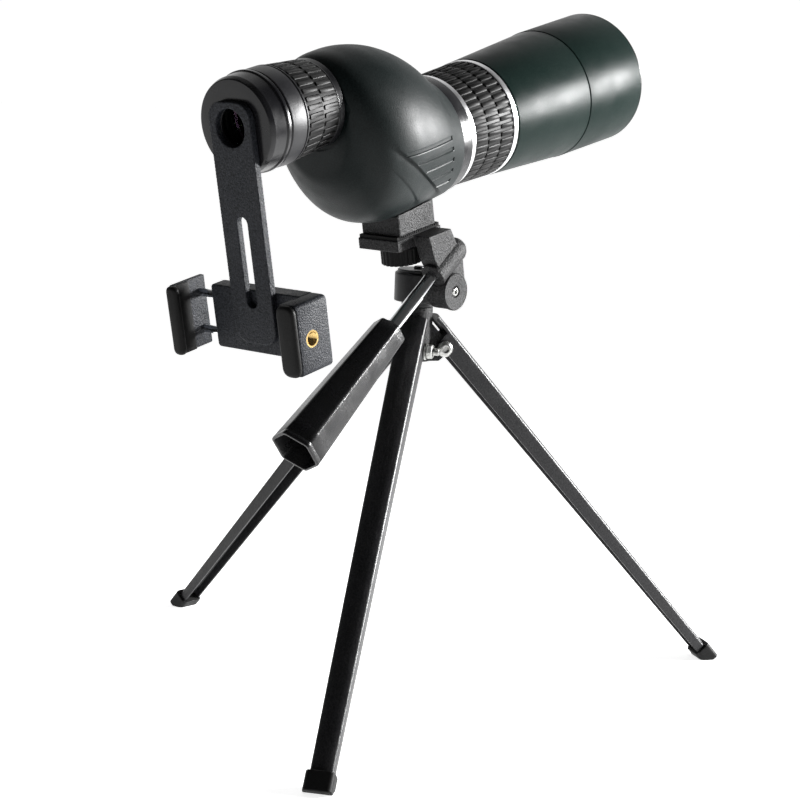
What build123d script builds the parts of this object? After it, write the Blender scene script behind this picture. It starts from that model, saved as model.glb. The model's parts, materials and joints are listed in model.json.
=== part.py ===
from build123d import *
from math import atan2, copysign, cos, degrees, hypot, radians, sin, sqrt
import os

# A 60 mm straight spotting scope on a folding table tripod, with a phone clamp on its eyepiece.
# Millimetres. The floor is z = 0 and the tripod's pan axis is the Z axis. The scope points
# along +Y and its right side is +X. The scope is drawn nose up, as it stands at rest.

os.makedirs("parts", exist_ok=True)

# ---- The scope's own frame: ahead along the barrel, up across it --------------------------
pitch = 12.0
axis_height = 282.5          # barrel axis above the floor at the scope's origin
axis_setback = 18.4          # that origin behind the pan axis
forward = Vector(0, cos(radians(pitch)), sin(radians(pitch)))
above = Vector(0, -sin(radians(pitch)), cos(radians(pitch)))
eye_offset = 33.3            # eyepiece axis above the barrel axis: two Porro prisms shift it


def scope_point(right, ahead, up):
    """A point given from the scope's origin along its own directions."""
    return Vector(right, -axis_setback, axis_height) + forward * ahead + above * up


def side_view(right=0, up=0):
    """Plane seen from the right side: local x is ahead, local y is up, normal is +X."""
    return Plane(origin=scope_point(right, 0, up), x_dir=forward, z_dir=(1, 0, 0))


def station(ahead, right=0, up=0):
    """Plane across the tube seen from behind: local x is right, local y is up."""
    return Plane(origin=scope_point(right, ahead, up), x_dir=(1, 0, 0), z_dir=-forward)


def level(up, right=0, ahead=0):
    """Plane parallel to the platform: local x is right, local y is ahead."""
    return Plane(origin=scope_point(right, ahead, up), x_dir=(1, 0, 0), z_dir=above)


barrel_axis = Axis(scope_point(0, 0, 0), forward)
eye_axis = Axis(scope_point(0, 0, eye_offset), forward)

# ---- Driving dimensions --------------------------------------------------------------------
slide_fit = 0.06             # radial clearance of turning and sliding fits
part_gap = 0.4               # air between neighbours that move past each other

# Prism housing: stations of the egg-shaped shell, front to rear
housing_wall = 2.4
housing_front = 12.0
housing_stations = (         # ahead, top, bottom, half width
    (housing_front, 31.4, -31.4, 31.3),
    (4.0, 36.5, -31.8, 33.6),
    (-8.0, 46.4, -32.6, 37.0),
    (-22.0, 53.2, -33.2, 39.4),
    (-36.0, 56.2, -32.2, 40.2),
    (-48.0, 56.4, -27.2, 37.2),
    (-57.0, 55.4, -15.5, 30.5),
    (-62.5, 52.0, -5.0, 22.5),
)
eyepiece_seat = -61.5        # flat recess in the housing behind which the zoom ring turns
eyepiece_seat_radius = 23.4

# Barrel, front to rear as distances ahead of the origin
core_radius = 27.0           # fixed inner tube that everything on the barrel is built on
core_bore = 25.2
core_rear, core_front = 8.0, 66.0
lock_ring_front = 20.1
lock_ring_radius = 30.3
focus_rear, focus_front = 20.5, 58.4
rear_band_length, front_band_length = 3.4, 3.7
rear_band_radius, front_band_radius = 29.5, 30.8
grip_radius_rear, grip_radius_front = 29.3, 30.5
focus_sleeve_radius = 28.2
barrel_rear, barrel_shoulder, barrel_front = 58.8, 118.0, 160.0
barrel_radius_rear, barrel_radius_front = 31.0, 34.8
shade_seat_radius = 33.6
barrel_bore_front, barrel_bore_rear = 31.8, 29.2
shade_rear, shade_front = 118.4, 167.4
shade_radius_rear, shade_radius_front = 35.0, 35.8
lens_pocket_radius = 31.0
objective_radius = 30.9

# Eyepiece, as distances ahead of the origin (all behind it)
eye_tube_radius, eye_tube_bore = 17.9, 16.2
zoom_front, zoom_rear = -61.9, -89.3
zoom_lip_length = 4.4
zoom_lip_radius = 21.6
zoom_grip_radius_front, zoom_grip_radius_rear = 21.7, 23.5
zoom_core_radius = 20.2
sleeve_front, sleeve_rear = -89.7, -101.9
sleeve_radius = 23.8
eyecup_rear, eyecup_radius, eyecup_bore = -112.4, 21.6, 15.0
view_hole = 9.0

# Phone adapter
cup_front, cup_floor, cup_rear = -102.3, -112.9, -114.5
cup_radius, cup_flange_radius = 22.9, 24.1
arm_thickness, arm_half_width = 3.6, 9.0
clamp_front, clamp_back = -105.8, -114.5
clamp_top, clamp_bottom = -44.6, -76.0
jaw_top, jaw_bottom = -44.6, -79.0         # the fixed jaw, on the right
slider_top, slider_bottom = -43.2, -77.6   # the sliding jaw, on the left
jaw_rear = -127.2
pad_thickness, pad_rear = 1.5, -130.2
pad_lip_left, pad_lip_right = 2.2, 0.8     # how far the pads reach over the phone's face
pad_front, pad_bevel = -118.6, 1.2
phone_left, phone_right = -40.6, 26.8      # the gap the clamp stands open to
jaw_left, jaw_right = -45.5, 36.8
rod_radius, rod_reach = 2.0, 58.0
insert_radius, insert_bore, insert_length = 4.1, 3.05, 7.0
insert_ahead, insert_up = -118.6, -62.5

# Foot and tilting platform
foot_half_width, foot_rear, foot_front = 12.35, -22.5, 6.5
foot_bottom, pad_bottom, plate_bottom = -42.0, -43.7, -49.5
plate_half_width, plate_rear, plate_front = 12.9, -25.1, 9.5
screw_ahead = -8.0
screw_radius, insert_clearance = 3.1, 0.08
foot_insert_radius, foot_insert_depth = 4.2, 8.0
screw_head_radius, screw_head_height = 4.6, 1.4
screw_in_foot, screw_recess = 6.0, 2.0
wheel_radius, wheel_top, wheel_bottom = 10.6, -51.0, -59.6

# Tilt joint: its axis crosses the pan axis
tilt_height = 208.5
tilt_radius = 9.2
axle_radius = 3.0
base_side, ring_outer, disc_outer = 12.4, 22.7, 25.0
base_boss_radius = 7.9
handle_x = 17.7
handle_slope = 38.0          # degrees below the horizontal
socket_radius = 5.2
socket_rear = Vector(handle_x, -11.6, 216.2)
handle_down = Vector(0, -cos(radians(handle_slope)), -sin(radians(handle_slope)))
socket_length = 18.5
rod_diameter, rod_bare_length = 7.0, 39.8
grip_length = 85.6
grip_small, grip_middle, grip_large = 9.3, 11.0, 13.6     # corner radii along the grip
grip_middle_at = 0.4                                      # of its length
grip_wall, grip_corner = 1.8, 0.22
rod_tip, rod_inside = -11.0, 20.6    # the rod's end in the socket, and its depth in the grip

# Tripod
base_radius, base_bottom, base_top = 12.3, 201.5, 216.5
cap_radius, cap_top = 11.0, 218.0
neck_radius, neck_bottom = 8.4, 198.9
hub_radius, hub_top, hub_bottom = 8.0, 198.5, 170.5
leg_azimuths = {"left": 177, "near": 297.25, "right": 57}
leg_top_radius, leg_top_height = 10.0, 190.0
foot_circle_radius = 179.7
leg_angle = degrees(atan2(leg_top_height, foot_circle_radius - leg_top_radius))
leg_length = hypot(leg_top_height, foot_circle_radius - leg_top_radius)
leg_width_top, leg_width_foot = 14.4, 11.2
leg_web_top, leg_web_foot = 3.7, 2.3       # outer face of the web out from the leg's axis
leg_edge_top, leg_edge_foot = 7.0, 4.2     # side walls' free edges in from that axis
leg_wall = 1.2
leg_crown = 1.4                            # how far the web bows out between its corners
leg_head = 3.0                             # leg beyond the top end of its axis line
leg_pivot_along, leg_pivot_in = 11.5, 6.2
leg_ear_radius = 4.2                       # rounded ears of the side walls about the pivot bolt
leg_ear_outside, leg_ear_inside = 7.05, 5.85
leg_bolt_radius = 1.95
bolt_head_radius, bolt_head_height = 4.2, 2.6
bolt_face = 7.6                            # bolt head and washer sit this far off the leg's middle
bolt_reach = 15.0
washer_radius, washer_thickness = 4.4, 0.9
nut_half_flats, nut_height = 3.5, 3.2
lug_width, lug_radius = 10.4, 3.9
boot_length, boot_width, boot_depth = 10.0, 14.0, 9.7
boot_corner = 2.4
leg_in_boot = 3.0


# ---- Prism housing -------------------------------------------------------------------------
def housing_egg(inset, front, rear):
    """The egg of the housing, drawn in by a wall thickness for its inside."""
    ends = (housing_stations[0][0], housing_stations[-1][0])
    moved = {ends[0]: front, ends[1]: rear}
    with BuildPart() as egg:
        for ahead, top, bottom, half_width in housing_stations:
            with BuildSketch(station(moved.get(ahead, ahead), up=(top + bottom) / 2)):
                Ellipse(half_width - inset, (top - bottom) / 2 - inset)
        loft()
    return egg.part


housing_outside = housing_egg(0, housing_front, housing_stations[-1][0])
housing_inside = housing_egg(housing_wall, housing_front - 3.0, -59.2)

with BuildPart() as prism_housing:
    add(housing_outside)
    add(housing_inside, mode=Mode.SUBTRACT)
    # flat seat and bore for the eyepiece
    with BuildSketch(station(eyepiece_seat, up=eye_offset)):
        Circle(eyepiece_seat_radius)
    extrude(amount=6, mode=Mode.SUBTRACT)
    with BuildSketch(station(-50, up=eye_offset)):
        Circle(eye_tube_radius)
    extrude(amount=16, mode=Mode.SUBTRACT)
    # bore for the barrel's core tube
    with BuildSketch(station(housing_front + 1)):
        Circle(core_radius)
    extrude(amount=6, mode=Mode.SUBTRACT)
prism_housing.part.label = "prism_housing"
export_step(prism_housing.part, "parts/prism_housing.step")

# Mounting foot, a block whose top is the saddle of the housing
with BuildPart() as mounting_foot:
    with BuildSketch(level(foot_bottom)):
        with Locations((0, (foot_rear + foot_front) / 2)):
            Rectangle(2 * foot_half_width, foot_front - foot_rear)
    extrude(amount=16)
    fillet(mounting_foot.edges().filter_by(Axis(scope_point(0, 0, 0), above)), radius=1.2)
    add(housing_outside, mode=Mode.SUBTRACT)
    with Locations(level(foot_bottom, ahead=screw_ahead)):
        Hole(foot_insert_radius)
mounting_foot.part.label = "mounting_foot"
export_step(mounting_foot.part, "parts/mounting_foot.step")

# Brass 1/4-20 insert in the foot
with BuildPart() as foot_insert:
    with BuildSketch(level(foot_bottom, ahead=screw_ahead)):
        Circle(foot_insert_radius)
        Circle(screw_radius + insert_clearance, mode=Mode.SUBTRACT)
    extrude(amount=foot_insert_depth)
foot_insert.part.label = "foot_insert"
export_step(foot_insert.part, "parts/foot_insert.step")

# ---- Porro prisms --------------------------------------------------------------------------
# Each prism folds the beam back, one diagonal step over. Two steps at right angles add up to
# the eyepiece offset, straight up.
prism_step = eye_offset * cos(radians(45))
prism_width = 20.0
prism_plate_ahead = -26.0
prism_plate_half = 0.8
first_step = Vector(1, 0, 0) * cos(radians(45)) + above * sin(radians(45))
second_step = Vector(-1, 0, 0) * cos(radians(45)) + above * sin(radians(45))


def porro_prism(centre, long_dir, wide_dir):
    """A 45-45-90 prism: its long face at the centre, its ridge out along long x wide."""
    with BuildPart() as prism:
        with BuildSketch(Plane(origin=centre - wide_dir * (prism_width / 2),
                               x_dir=long_dir, z_dir=wide_dir)):
            with BuildLine():
                Polyline((-prism_step, 0), (prism_step, 0), (0, prism_step), close=True)
            make_face()
        extrude(amount=prism_width)
        chamfer(prism.edges().filter_by(Axis(centre, wide_dir)), length=0.8)
    return prism


prism_rear = porro_prism(
    scope_point(0, prism_plate_ahead - prism_plate_half, 0) + first_step * (prism_step / 2),
    first_step, second_step * -1)
prism_rear.part.label = "prism_rear"
export_step(prism_rear.part, "parts/prism_rear.step")

prism_front = porro_prism(
    scope_point(0, prism_plate_ahead + prism_plate_half, 0)
    + first_step * prism_step + second_step * (prism_step / 2),
    second_step, first_step * -1)
prism_front.part.label = "prism_front"
export_step(prism_front.part, "parts/prism_front.step")

# Plate between the prisms, with the three windows that the beam passes
with BuildPart() as prism_plate:
    with BuildSketch(station(prism_plate_ahead + prism_plate_half)):
        Circle(70)
        with Locations((0, 0), (eye_offset / 2, eye_offset / 2), (0, eye_offset)):
            Circle(8.5, mode=Mode.SUBTRACT)
    extrude(amount=2 * prism_plate_half)
    add(housing_inside, mode=Mode.INTERSECT)
prism_plate.part.label = "prism_plate"
export_step(prism_plate.part, "parts/prism_plate.step")


def prism_strap(centre, wide_dir, outward):
    """Spring strap bent over a prism's ridge, with two feet on the plate."""
    half, reach, strip = prism_width / 2 + 0.2, prism_step + 0.2, 0.8
    with BuildPart() as strap:
        with BuildSketch(Plane(origin=centre, x_dir=wide_dir, z_dir=outward.cross(wide_dir) * -1)):
            with BuildLine():
                Polyline((-half - 6, 0), (-half - 6, strip), (-half - strip, strip),
                         (-half - strip, reach + strip), (half + strip, reach + strip),
                         (half + strip, strip), (half + 6, strip), (half + 6, 0),
                         (half, 0), (half, reach), (-half, reach), (-half, 0), close=True)
            make_face()
        extrude(amount=4, both=True)
    return strap.part


with BuildPart() as prism_straps:
    add(prism_strap(scope_point(0, prism_plate_ahead - prism_plate_half, 0)
                    + first_step * (prism_step / 2), second_step, forward * -1))
    add(prism_strap(scope_point(0, prism_plate_ahead + prism_plate_half, 0)
                    + first_step * prism_step + second_step * (prism_step / 2),
                    first_step, forward))
prism_straps.part.label = "prism_straps"
export_step(prism_straps.part, "parts/prism_straps.step")

# ---- Barrel --------------------------------------------------------------------------------
def face_point(vertex, edge, rim):
    """Point halfway out on a ground lens face, between its vertex on the axis and its rim."""
    sag = edge - vertex
    ball = (rim ** 2 + sag ** 2) / (2 * abs(sag))
    return (vertex + copysign(ball - sqrt(ball ** 2 - (rim / 2) ** 2), sag), rim / 2)


with BuildPart() as core_tube:
    with BuildSketch(side_view()):
        with BuildLine():
            Polyline((core_rear, core_bore), (core_rear, core_radius), (core_front, core_radius),
                     (core_front, core_bore), close=True)
        make_face()
    revolve(axis=barrel_axis)
core_tube.part.label = "core_tube"
export_step(core_tube.part, "parts/core_tube.step")

with BuildPart() as locking_ring:
    with BuildSketch(side_view()):
        with BuildLine():
            Polyline((housing_front, core_radius), (housing_front, lock_ring_radius - 0.4),
                     (housing_front + 0.8, lock_ring_radius), (lock_ring_front, lock_ring_radius),
                     (lock_ring_front, core_radius), close=True)
        make_face()
    revolve(axis=barrel_axis)
locking_ring.part.label = "locking_ring"
export_step(locking_ring.part, "parts/locking_ring.step")

with BuildPart() as focus_sleeve:
    with BuildSketch(side_view()):
        with BuildLine():
            Polyline((focus_rear, core_radius + slide_fit), (focus_rear, focus_sleeve_radius),
                     (focus_front, focus_sleeve_radius), (focus_front, core_radius + slide_fit),
                     close=True)
        make_face()
    revolve(axis=barrel_axis)
focus_sleeve.part.label = "focus_sleeve"
export_step(focus_sleeve.part, "parts/focus_sleeve.step")

band_edge = 0.5
with BuildPart() as rear_band:
    with BuildSketch(side_view()):
        with BuildLine():
            Polyline((focus_rear, focus_sleeve_radius), (focus_rear, rear_band_radius - band_edge),
                     (focus_rear + band_edge, rear_band_radius),
                     (focus_rear + rear_band_length, rear_band_radius),
                     (focus_rear + rear_band_length, focus_sleeve_radius), close=True)
        make_face()
    revolve(axis=barrel_axis)
rear_band.part.label = "rear_band"
export_step(rear_band.part, "parts/rear_band.step")

with BuildPart() as front_band:
    with BuildSketch(side_view()):
        with BuildLine():
            Polyline((focus_front - front_band_length, focus_sleeve_radius),
                     (focus_front - front_band_length, front_band_radius),
                     (focus_front - band_edge, front_band_radius),
                     (focus_front, front_band_radius - band_edge),
                     (focus_front, focus_sleeve_radius), close=True)
        make_face()
    revolve(axis=barrel_axis)
front_band.part.label = "front_band"
export_step(front_band.part, "parts/front_band.step")

with BuildPart() as focus_grip:
    with BuildSketch(side_view()):
        with BuildLine():
            Polyline((focus_rear + rear_band_length, focus_sleeve_radius),
                     (focus_rear + rear_band_length, grip_radius_rear),
                     (focus_front - front_band_length, grip_radius_front),
                     (focus_front - front_band_length, focus_sleeve_radius), close=True)
        make_face()
    revolve(axis=barrel_axis)
focus_grip.part.label = "focus_grip"
export_step(focus_grip.part, "parts/focus_grip.step")

# Focusing lens in the core tube, moved along it by the focus ring's cam
focus_cell_rear, focus_cell_front = 30.0, 44.0
focus_lens_radius, focus_cell_opening, focus_cell_lip = 22.0, 20.0, 4.0
with BuildPart() as focus_carriage:
    with BuildSketch(side_view()):
        with BuildLine():
            Polyline((focus_cell_rear, focus_cell_opening),
                     (focus_cell_rear, core_bore - slide_fit),
                     (focus_cell_front, core_bore - slide_fit),
                     (focus_cell_front, focus_lens_radius),
                     (focus_cell_rear + focus_cell_lip, focus_lens_radius),
                     (focus_cell_rear + focus_cell_lip, focus_cell_opening), close=True)
        make_face()
    revolve(axis=barrel_axis)
focus_carriage.part.label = "focus_carriage"
export_step(focus_carriage.part, "parts/focus_carriage.step")

focus_lens_rear, focus_lens_edge, focus_lens_vertex = 34.0, 40.0, 37.0
with BuildPart() as focus_lens:
    with BuildSketch(side_view()):
        with BuildLine():
            Polyline((focus_lens_vertex, 0), (focus_lens_rear, 0),
                     (focus_lens_rear, focus_lens_radius), (focus_lens_edge, focus_lens_radius))
            ThreePointArc((focus_lens_edge, focus_lens_radius),
                          face_point(focus_lens_vertex, focus_lens_edge, focus_lens_radius),
                          (focus_lens_vertex, 0))
        make_face()
    revolve(axis=barrel_axis)
focus_lens.part.label = "focus_lens"
export_step(focus_lens.part, "parts/focus_lens.step")

# Tapered barrel with the narrower seat that the sunshade slides on
with BuildPart() as front_barrel:
    with BuildSketch(side_view()):
        with BuildLine():
            Polyline((barrel_rear, core_radius), (barrel_rear, barrel_radius_rear - 0.6),
                     (barrel_rear + 0.6, barrel_radius_rear),
                     (barrel_shoulder, barrel_radius_front),
                     (barrel_shoulder, shade_seat_radius), (barrel_front, shade_seat_radius),
                     (barrel_front, barrel_bore_front), (barrel_shoulder - 6, barrel_bore_front),
                     (core_front, barrel_bore_rear), (core_front, core_radius), close=True)
        make_face()
    revolve(axis=barrel_axis)
front_barrel.part.label = "front_barrel"
export_step(front_barrel.part, "parts/front_barrel.step")

cell_rear, cell_seat, cell_front, cell_opening = 138.0, 146.0, 159.0, 28.8
with BuildPart() as objective_cell:
    with BuildSketch(side_view()):
        with BuildLine():
            Polyline((cell_rear, cell_opening), (cell_rear, barrel_bore_front),
                     (cell_front, barrel_bore_front), (cell_front, lens_pocket_radius),
                     (cell_seat, lens_pocket_radius), (cell_seat, cell_opening), close=True)
        make_face()
    revolve(axis=barrel_axis)
objective_cell.part.label = "objective_cell"
export_step(objective_cell.part, "parts/objective_cell.step")

# Air-spaced doublet: a hollow-faced flint behind a thicker crown
flint_edge = cell_seat + 5.0
flint_vertex = flint_edge - 3.2
with BuildPart() as flint_lens:
    with BuildSketch(side_view()):
        with BuildLine():
            Polyline((flint_vertex, 0), (cell_seat, 0), (cell_seat, objective_radius),
                     (flint_edge, objective_radius))
            ThreePointArc((flint_edge, objective_radius),
                          face_point(flint_vertex, flint_edge, objective_radius),
                          (flint_vertex, 0))
        make_face()
    revolve(axis=barrel_axis)
flint_lens.part.label = "flint_lens"
export_step(flint_lens.part, "parts/flint_lens.step")

crown_rear, crown_front = flint_edge + 0.1, flint_edge + 2.7
crown_bulge = 3.0
with BuildPart() as crown_lens:
    with BuildSketch(side_view()):
        with BuildLine():
            ThreePointArc((crown_rear - crown_bulge, 0),
                          face_point(crown_rear - crown_bulge, crown_rear, objective_radius),
                          (crown_rear, objective_radius))
            Line((crown_rear, objective_radius), (crown_front, objective_radius))
            ThreePointArc((crown_front, objective_radius),
                          face_point(crown_front + crown_bulge, crown_front, objective_radius),
                          (crown_front + crown_bulge, 0))
            Line((crown_front + crown_bulge, 0), (crown_rear - crown_bulge, 0))
        make_face()
    revolve(axis=barrel_axis)
crown_lens.part.label = "crown_lens"
export_step(crown_lens.part, "parts/crown_lens.step")

retainer_gap, retainer_opening = 0.3, 30.0
with BuildPart() as lens_retainer:
    with BuildSketch(side_view()):
        with BuildLine():
            Polyline((crown_front + retainer_gap, retainer_opening),
                     (crown_front + retainer_gap, lens_pocket_radius),
                     (cell_front, lens_pocket_radius), (cell_front, retainer_opening), close=True)
        make_face()
    revolve(axis=barrel_axis)
lens_retainer.part.label = "lens_retainer"
export_step(lens_retainer.part, "parts/lens_retainer.step")

# Sliding sunshade: a close-fitting band at the rear, a thick rounded rim in front
with BuildPart() as sunshade:
    with BuildSketch(side_view()):
        with BuildLine():
            Polyline((shade_rear, shade_seat_radius + slide_fit), (shade_rear, shade_radius_rear),
                     (shade_front - 1.0, shade_radius_front), (shade_front, shade_radius_front - 1),
                     (shade_front, 33.2), (shade_front - 5.0, 34.0),
                     (shade_rear + 8.0, 34.0), (shade_rear + 8.0, shade_seat_radius + slide_fit),
                     close=True)
        make_face()
    revolve(axis=barrel_axis)
sunshade.part.label = "sunshade"
export_step(sunshade.part, "parts/sunshade.step")

# ---- Eyepiece ------------------------------------------------------------------------------
with BuildPart() as eyepiece_tube:
    with BuildSketch(side_view(up=eye_offset)):
        with BuildLine():
            Polyline((-54.0, eye_tube_bore), (-54.0, 19.6), (-57.0, 19.6),
                     (-57.0, eye_tube_radius), (sleeve_rear, eye_tube_radius),
                     (sleeve_rear, eye_tube_bore), close=True)
        make_face()
    revolve(axis=eye_axis)
eyepiece_tube.part.label = "eyepiece_tube"
export_step(eyepiece_tube.part, "parts/eyepiece_tube.step")

with BuildPart() as zoom_ring:
    with BuildSketch(side_view(up=eye_offset)):
        with BuildLine():
            Polyline((zoom_front, eye_tube_radius + slide_fit), (zoom_front, zoom_lip_radius - 0.6),
                     (zoom_front - 0.6, zoom_lip_radius),
                     (zoom_front - zoom_lip_length, zoom_lip_radius),
                     (zoom_front - zoom_lip_length, zoom_core_radius),
                     (zoom_rear, zoom_core_radius), (zoom_rear, eye_tube_radius + slide_fit),
                     close=True)
        make_face()
    revolve(axis=eye_axis)
zoom_ring.part.label = "zoom_ring"
export_step(zoom_ring.part, "parts/zoom_ring.step")

with BuildPart() as zoom_grip:
    with BuildSketch(side_view(up=eye_offset)):
        with BuildLine():
            Polyline((zoom_front - zoom_lip_length, zoom_core_radius),
                     (zoom_front - zoom_lip_length, zoom_grip_radius_front),
                     (zoom_rear, zoom_grip_radius_rear), (zoom_rear, zoom_core_radius), close=True)
        make_face()
    revolve(axis=eye_axis)
zoom_grip.part.label = "zoom_grip"
export_step(zoom_grip.part, "parts/zoom_grip.step")

with BuildPart() as eyepiece_sleeve:
    with BuildSketch(side_view(up=eye_offset)):
        with BuildLine():
            Polyline((sleeve_front, eye_tube_radius), (sleeve_front, sleeve_radius),
                     (sleeve_front - 1.0, sleeve_radius), (sleeve_front - 1.2, sleeve_radius - 0.5),
                     (sleeve_front - 1.8, sleeve_radius - 0.5), (sleeve_front - 2.0, sleeve_radius),
                     (sleeve_rear + 0.6, sleeve_radius - 0.3), (sleeve_rear, sleeve_radius - 0.9),
                     (sleeve_rear, eye_tube_radius), close=True)
        make_face()
    revolve(axis=eye_axis)
eyepiece_sleeve.part.label = "eyepiece_sleeve"
export_step(eyepiece_sleeve.part, "parts/eyepiece_sleeve.step")

with BuildPart() as rubber_eyecup:
    with BuildSketch(side_view(up=eye_offset)):
        with BuildLine():
            Polyline((sleeve_rear, eyecup_bore), (sleeve_rear, eyecup_radius),
                     (eyecup_rear, eyecup_radius), (eyecup_rear, eyecup_radius - 2.2),
                     (sleeve_rear - 3.0, eyecup_radius - 2.6), (sleeve_rear - 3.0, eyecup_bore),
                     close=True)
        make_face()
    revolve(axis=eye_axis)
rubber_eyecup.part.label = "rubber_eyecup"
export_step(rubber_eyecup.part, "parts/rubber_eyecup.step")


def eyepiece_lens(middle, radius, half_edge, half_middle):
    """A lens on the eyepiece axis, ground alike on both faces."""
    with BuildPart() as lens:
        with BuildSketch(side_view(up=eye_offset)):
            with BuildLine():
                ThreePointArc((middle - half_middle, 0),
                              face_point(middle - half_middle, middle - half_edge, radius),
                              (middle - half_edge, radius))
                Line((middle - half_edge, radius), (middle + half_edge, radius))
                ThreePointArc((middle + half_edge, radius),
                              face_point(middle + half_middle, middle + half_edge, radius),
                              (middle + half_middle, 0))
                Line((middle + half_middle, 0), (middle - half_middle, 0))
            make_face()
        revolve(axis=eye_axis)
    return lens


field_lens = eyepiece_lens(-59.0, eye_tube_bore, 1.2, 3.0)
field_lens.part.label = "field_lens"
export_step(field_lens.part, "parts/field_lens.step")

eye_lens = eyepiece_lens(-97.5, eye_tube_bore, 1.6, 4.0)
eye_lens.part.label = "eye_lens"
export_step(eye_lens.part, "parts/eye_lens.step")

zoom_cell_middle, zoom_cell_half, zoom_lens_radius = -78.0, 4.0, 13.0
zoom_lens = eyepiece_lens(zoom_cell_middle, zoom_lens_radius, 1.2, 3.2)
zoom_lens.part.label = "zoom_lens"
export_step(zoom_lens.part, "parts/zoom_lens.step")

with BuildPart() as zoom_carriage:
    with BuildSketch(station(zoom_cell_middle + zoom_cell_half, up=eye_offset)):
        Circle(eye_tube_bore - slide_fit)
        Circle(zoom_lens_radius, mode=Mode.SUBTRACT)
    extrude(amount=2 * zoom_cell_half)
zoom_carriage.part.label = "zoom_carriage"
export_step(zoom_carriage.part, "parts/zoom_carriage.step")

# ---- Phone adapter -------------------------------------------------------------------------
with BuildPart() as adapter_cup:
    with BuildSketch(side_view(up=eye_offset)):
        with BuildLine():
            Polyline((cup_front, eyecup_radius + slide_fit), (cup_front, cup_flange_radius - 0.4),
                     (cup_front - 0.4, cup_flange_radius), (cup_front - 2.2, cup_flange_radius),
                     (cup_front - 3.0, cup_radius + 0.5), (cup_floor + 1.0, cup_radius),
                     (cup_rear, cup_radius - 1.2), (cup_rear, view_hole), (cup_floor, view_hole),
                     (cup_floor, eyecup_radius + slide_fit), close=True)
        make_face()
    revolve(axis=eye_axis)
adapter_cup.part.label = "adapter_cup"
export_step(adapter_cup.part, "parts/adapter_cup.step")

arm_top, arm_bottom = eye_offset + 12, -70.0
with BuildPart() as adapter_arm:
    with BuildSketch(station(cup_rear, up=(arm_top + arm_bottom) / 2)):
        RectangleRounded(2 * (arm_half_width + 4), arm_top - arm_bottom, 8)
        with Locations((0, eye_offset - (arm_top + arm_bottom) / 2)):
            Circle(view_hole, mode=Mode.SUBTRACT)
        with Locations((0, -18)):
            SlotOverall(44, 6.6, rotation=90, mode=Mode.SUBTRACT)
    extrude(amount=arm_thickness)
adapter_arm.part.label = "adapter_arm"
export_step(adapter_arm.part, "parts/adapter_arm.step")

rod_levels = (clamp_top - 6.5, clamp_bottom + 6.5)
with BuildPart() as clamp_body:
    # cross bar behind the phone
    with BuildSketch(station(clamp_front, up=(clamp_top + clamp_bottom) / 2)):
        with Locations((-0.6, 0)):
            RectangleRounded(59.0, clamp_top - clamp_bottom, 2)
    extrude(amount=clamp_front - clamp_back)
    # fixed jaw on its right end
    with BuildSketch(station(clamp_front, up=(jaw_top + jaw_bottom) / 2)):
        with Locations(((phone_right + pad_thickness + jaw_right) / 2, 0)):
            Rectangle(jaw_right - phone_right - pad_thickness, jaw_top - jaw_bottom)
    extrude(amount=clamp_front - jaw_rear)
    outer_edges = clamp_body.edges().filter_by(Axis(scope_point(0, 0, 0), forward)).group_by(Axis.X)[-1]
    fillet(outer_edges, radius=3)
    # seat of the threaded insert
    with BuildSketch(side_view(right=jaw_right + 1)):
        with Locations((insert_ahead, insert_up)):
            Circle(insert_radius)
    extrude(amount=-insert_length - 1, mode=Mode.SUBTRACT)
    # bores of the guide rods
    with BuildSketch(side_view(right=-31)):
        for rod_level in rod_levels:
            with Locations(((clamp_front + clamp_back) / 2, rod_level)):
                Circle(rod_radius + slide_fit)
    extrude(amount=58, mode=Mode.SUBTRACT)
clamp_body.part.label = "clamp_body"
export_step(clamp_body.part, "parts/clamp_body.step")

with BuildPart() as sliding_jaw:
    with BuildSketch(station(clamp_front, up=(slider_top + slider_bottom) / 2)):
        with Locations(((phone_left - pad_thickness + jaw_left) / 2, 0)):
            Rectangle(phone_left - pad_thickness - jaw_left, slider_top - slider_bottom)
    extrude(amount=clamp_front - jaw_rear)
    outer_edges = sliding_jaw.edges().filter_by(Axis(scope_point(0, 0, 0), forward)).group_by(Axis.X)[0]
    fillet(outer_edges, radius=2.5)
    with BuildSketch(side_view(right=jaw_left + 2)):
        for rod_level in rod_levels:
            with Locations(((clamp_front + clamp_back) / 2, rod_level)):
                Circle(rod_radius)
    extrude(amount=8, mode=Mode.SUBTRACT)
sliding_jaw.part.label = "sliding_jaw"
export_step(sliding_jaw.part, "parts/sliding_jaw.step")

with BuildPart() as guide_rods:
    with BuildSketch(side_view(right=jaw_left + 2)):
        for rod_level in rod_levels:
            with Locations(((clamp_front + clamp_back) / 2, rod_level)):
                Circle(rod_radius)
    extrude(amount=rod_reach)
guide_rods.part.label = "guide_rods"
export_step(guide_rods.part, "parts/guide_rods.step")


def jaw_pad(inner, outer, lip_edge, top, bottom):
    """Rubber pad on a jaw: along the phone's edge, then round the jaw's rear face."""
    towards = 1 if outer > inner else -1
    with BuildPart() as pad:
        with BuildSketch(level(bottom)):
            with BuildLine():
                Polyline((inner, pad_front), (inner + towards * pad_thickness, pad_front),
                         (inner + towards * pad_thickness, jaw_rear), (outer, jaw_rear),
                         (outer, pad_rear + pad_bevel), (outer - towards * pad_bevel, pad_rear),
                         (lip_edge + towards * pad_bevel, pad_rear),
                         (lip_edge, pad_rear + pad_bevel), (lip_edge, jaw_rear),
                         (inner, jaw_rear), close=True)
            make_face()
        extrude(amount=top - bottom)
    return pad


fixed_jaw_pad = jaw_pad(phone_right, jaw_right, phone_right - pad_lip_right, jaw_top, jaw_bottom)
fixed_jaw_pad.part.label = "fixed_jaw_pad"
export_step(fixed_jaw_pad.part, "parts/fixed_jaw_pad.step")

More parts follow.
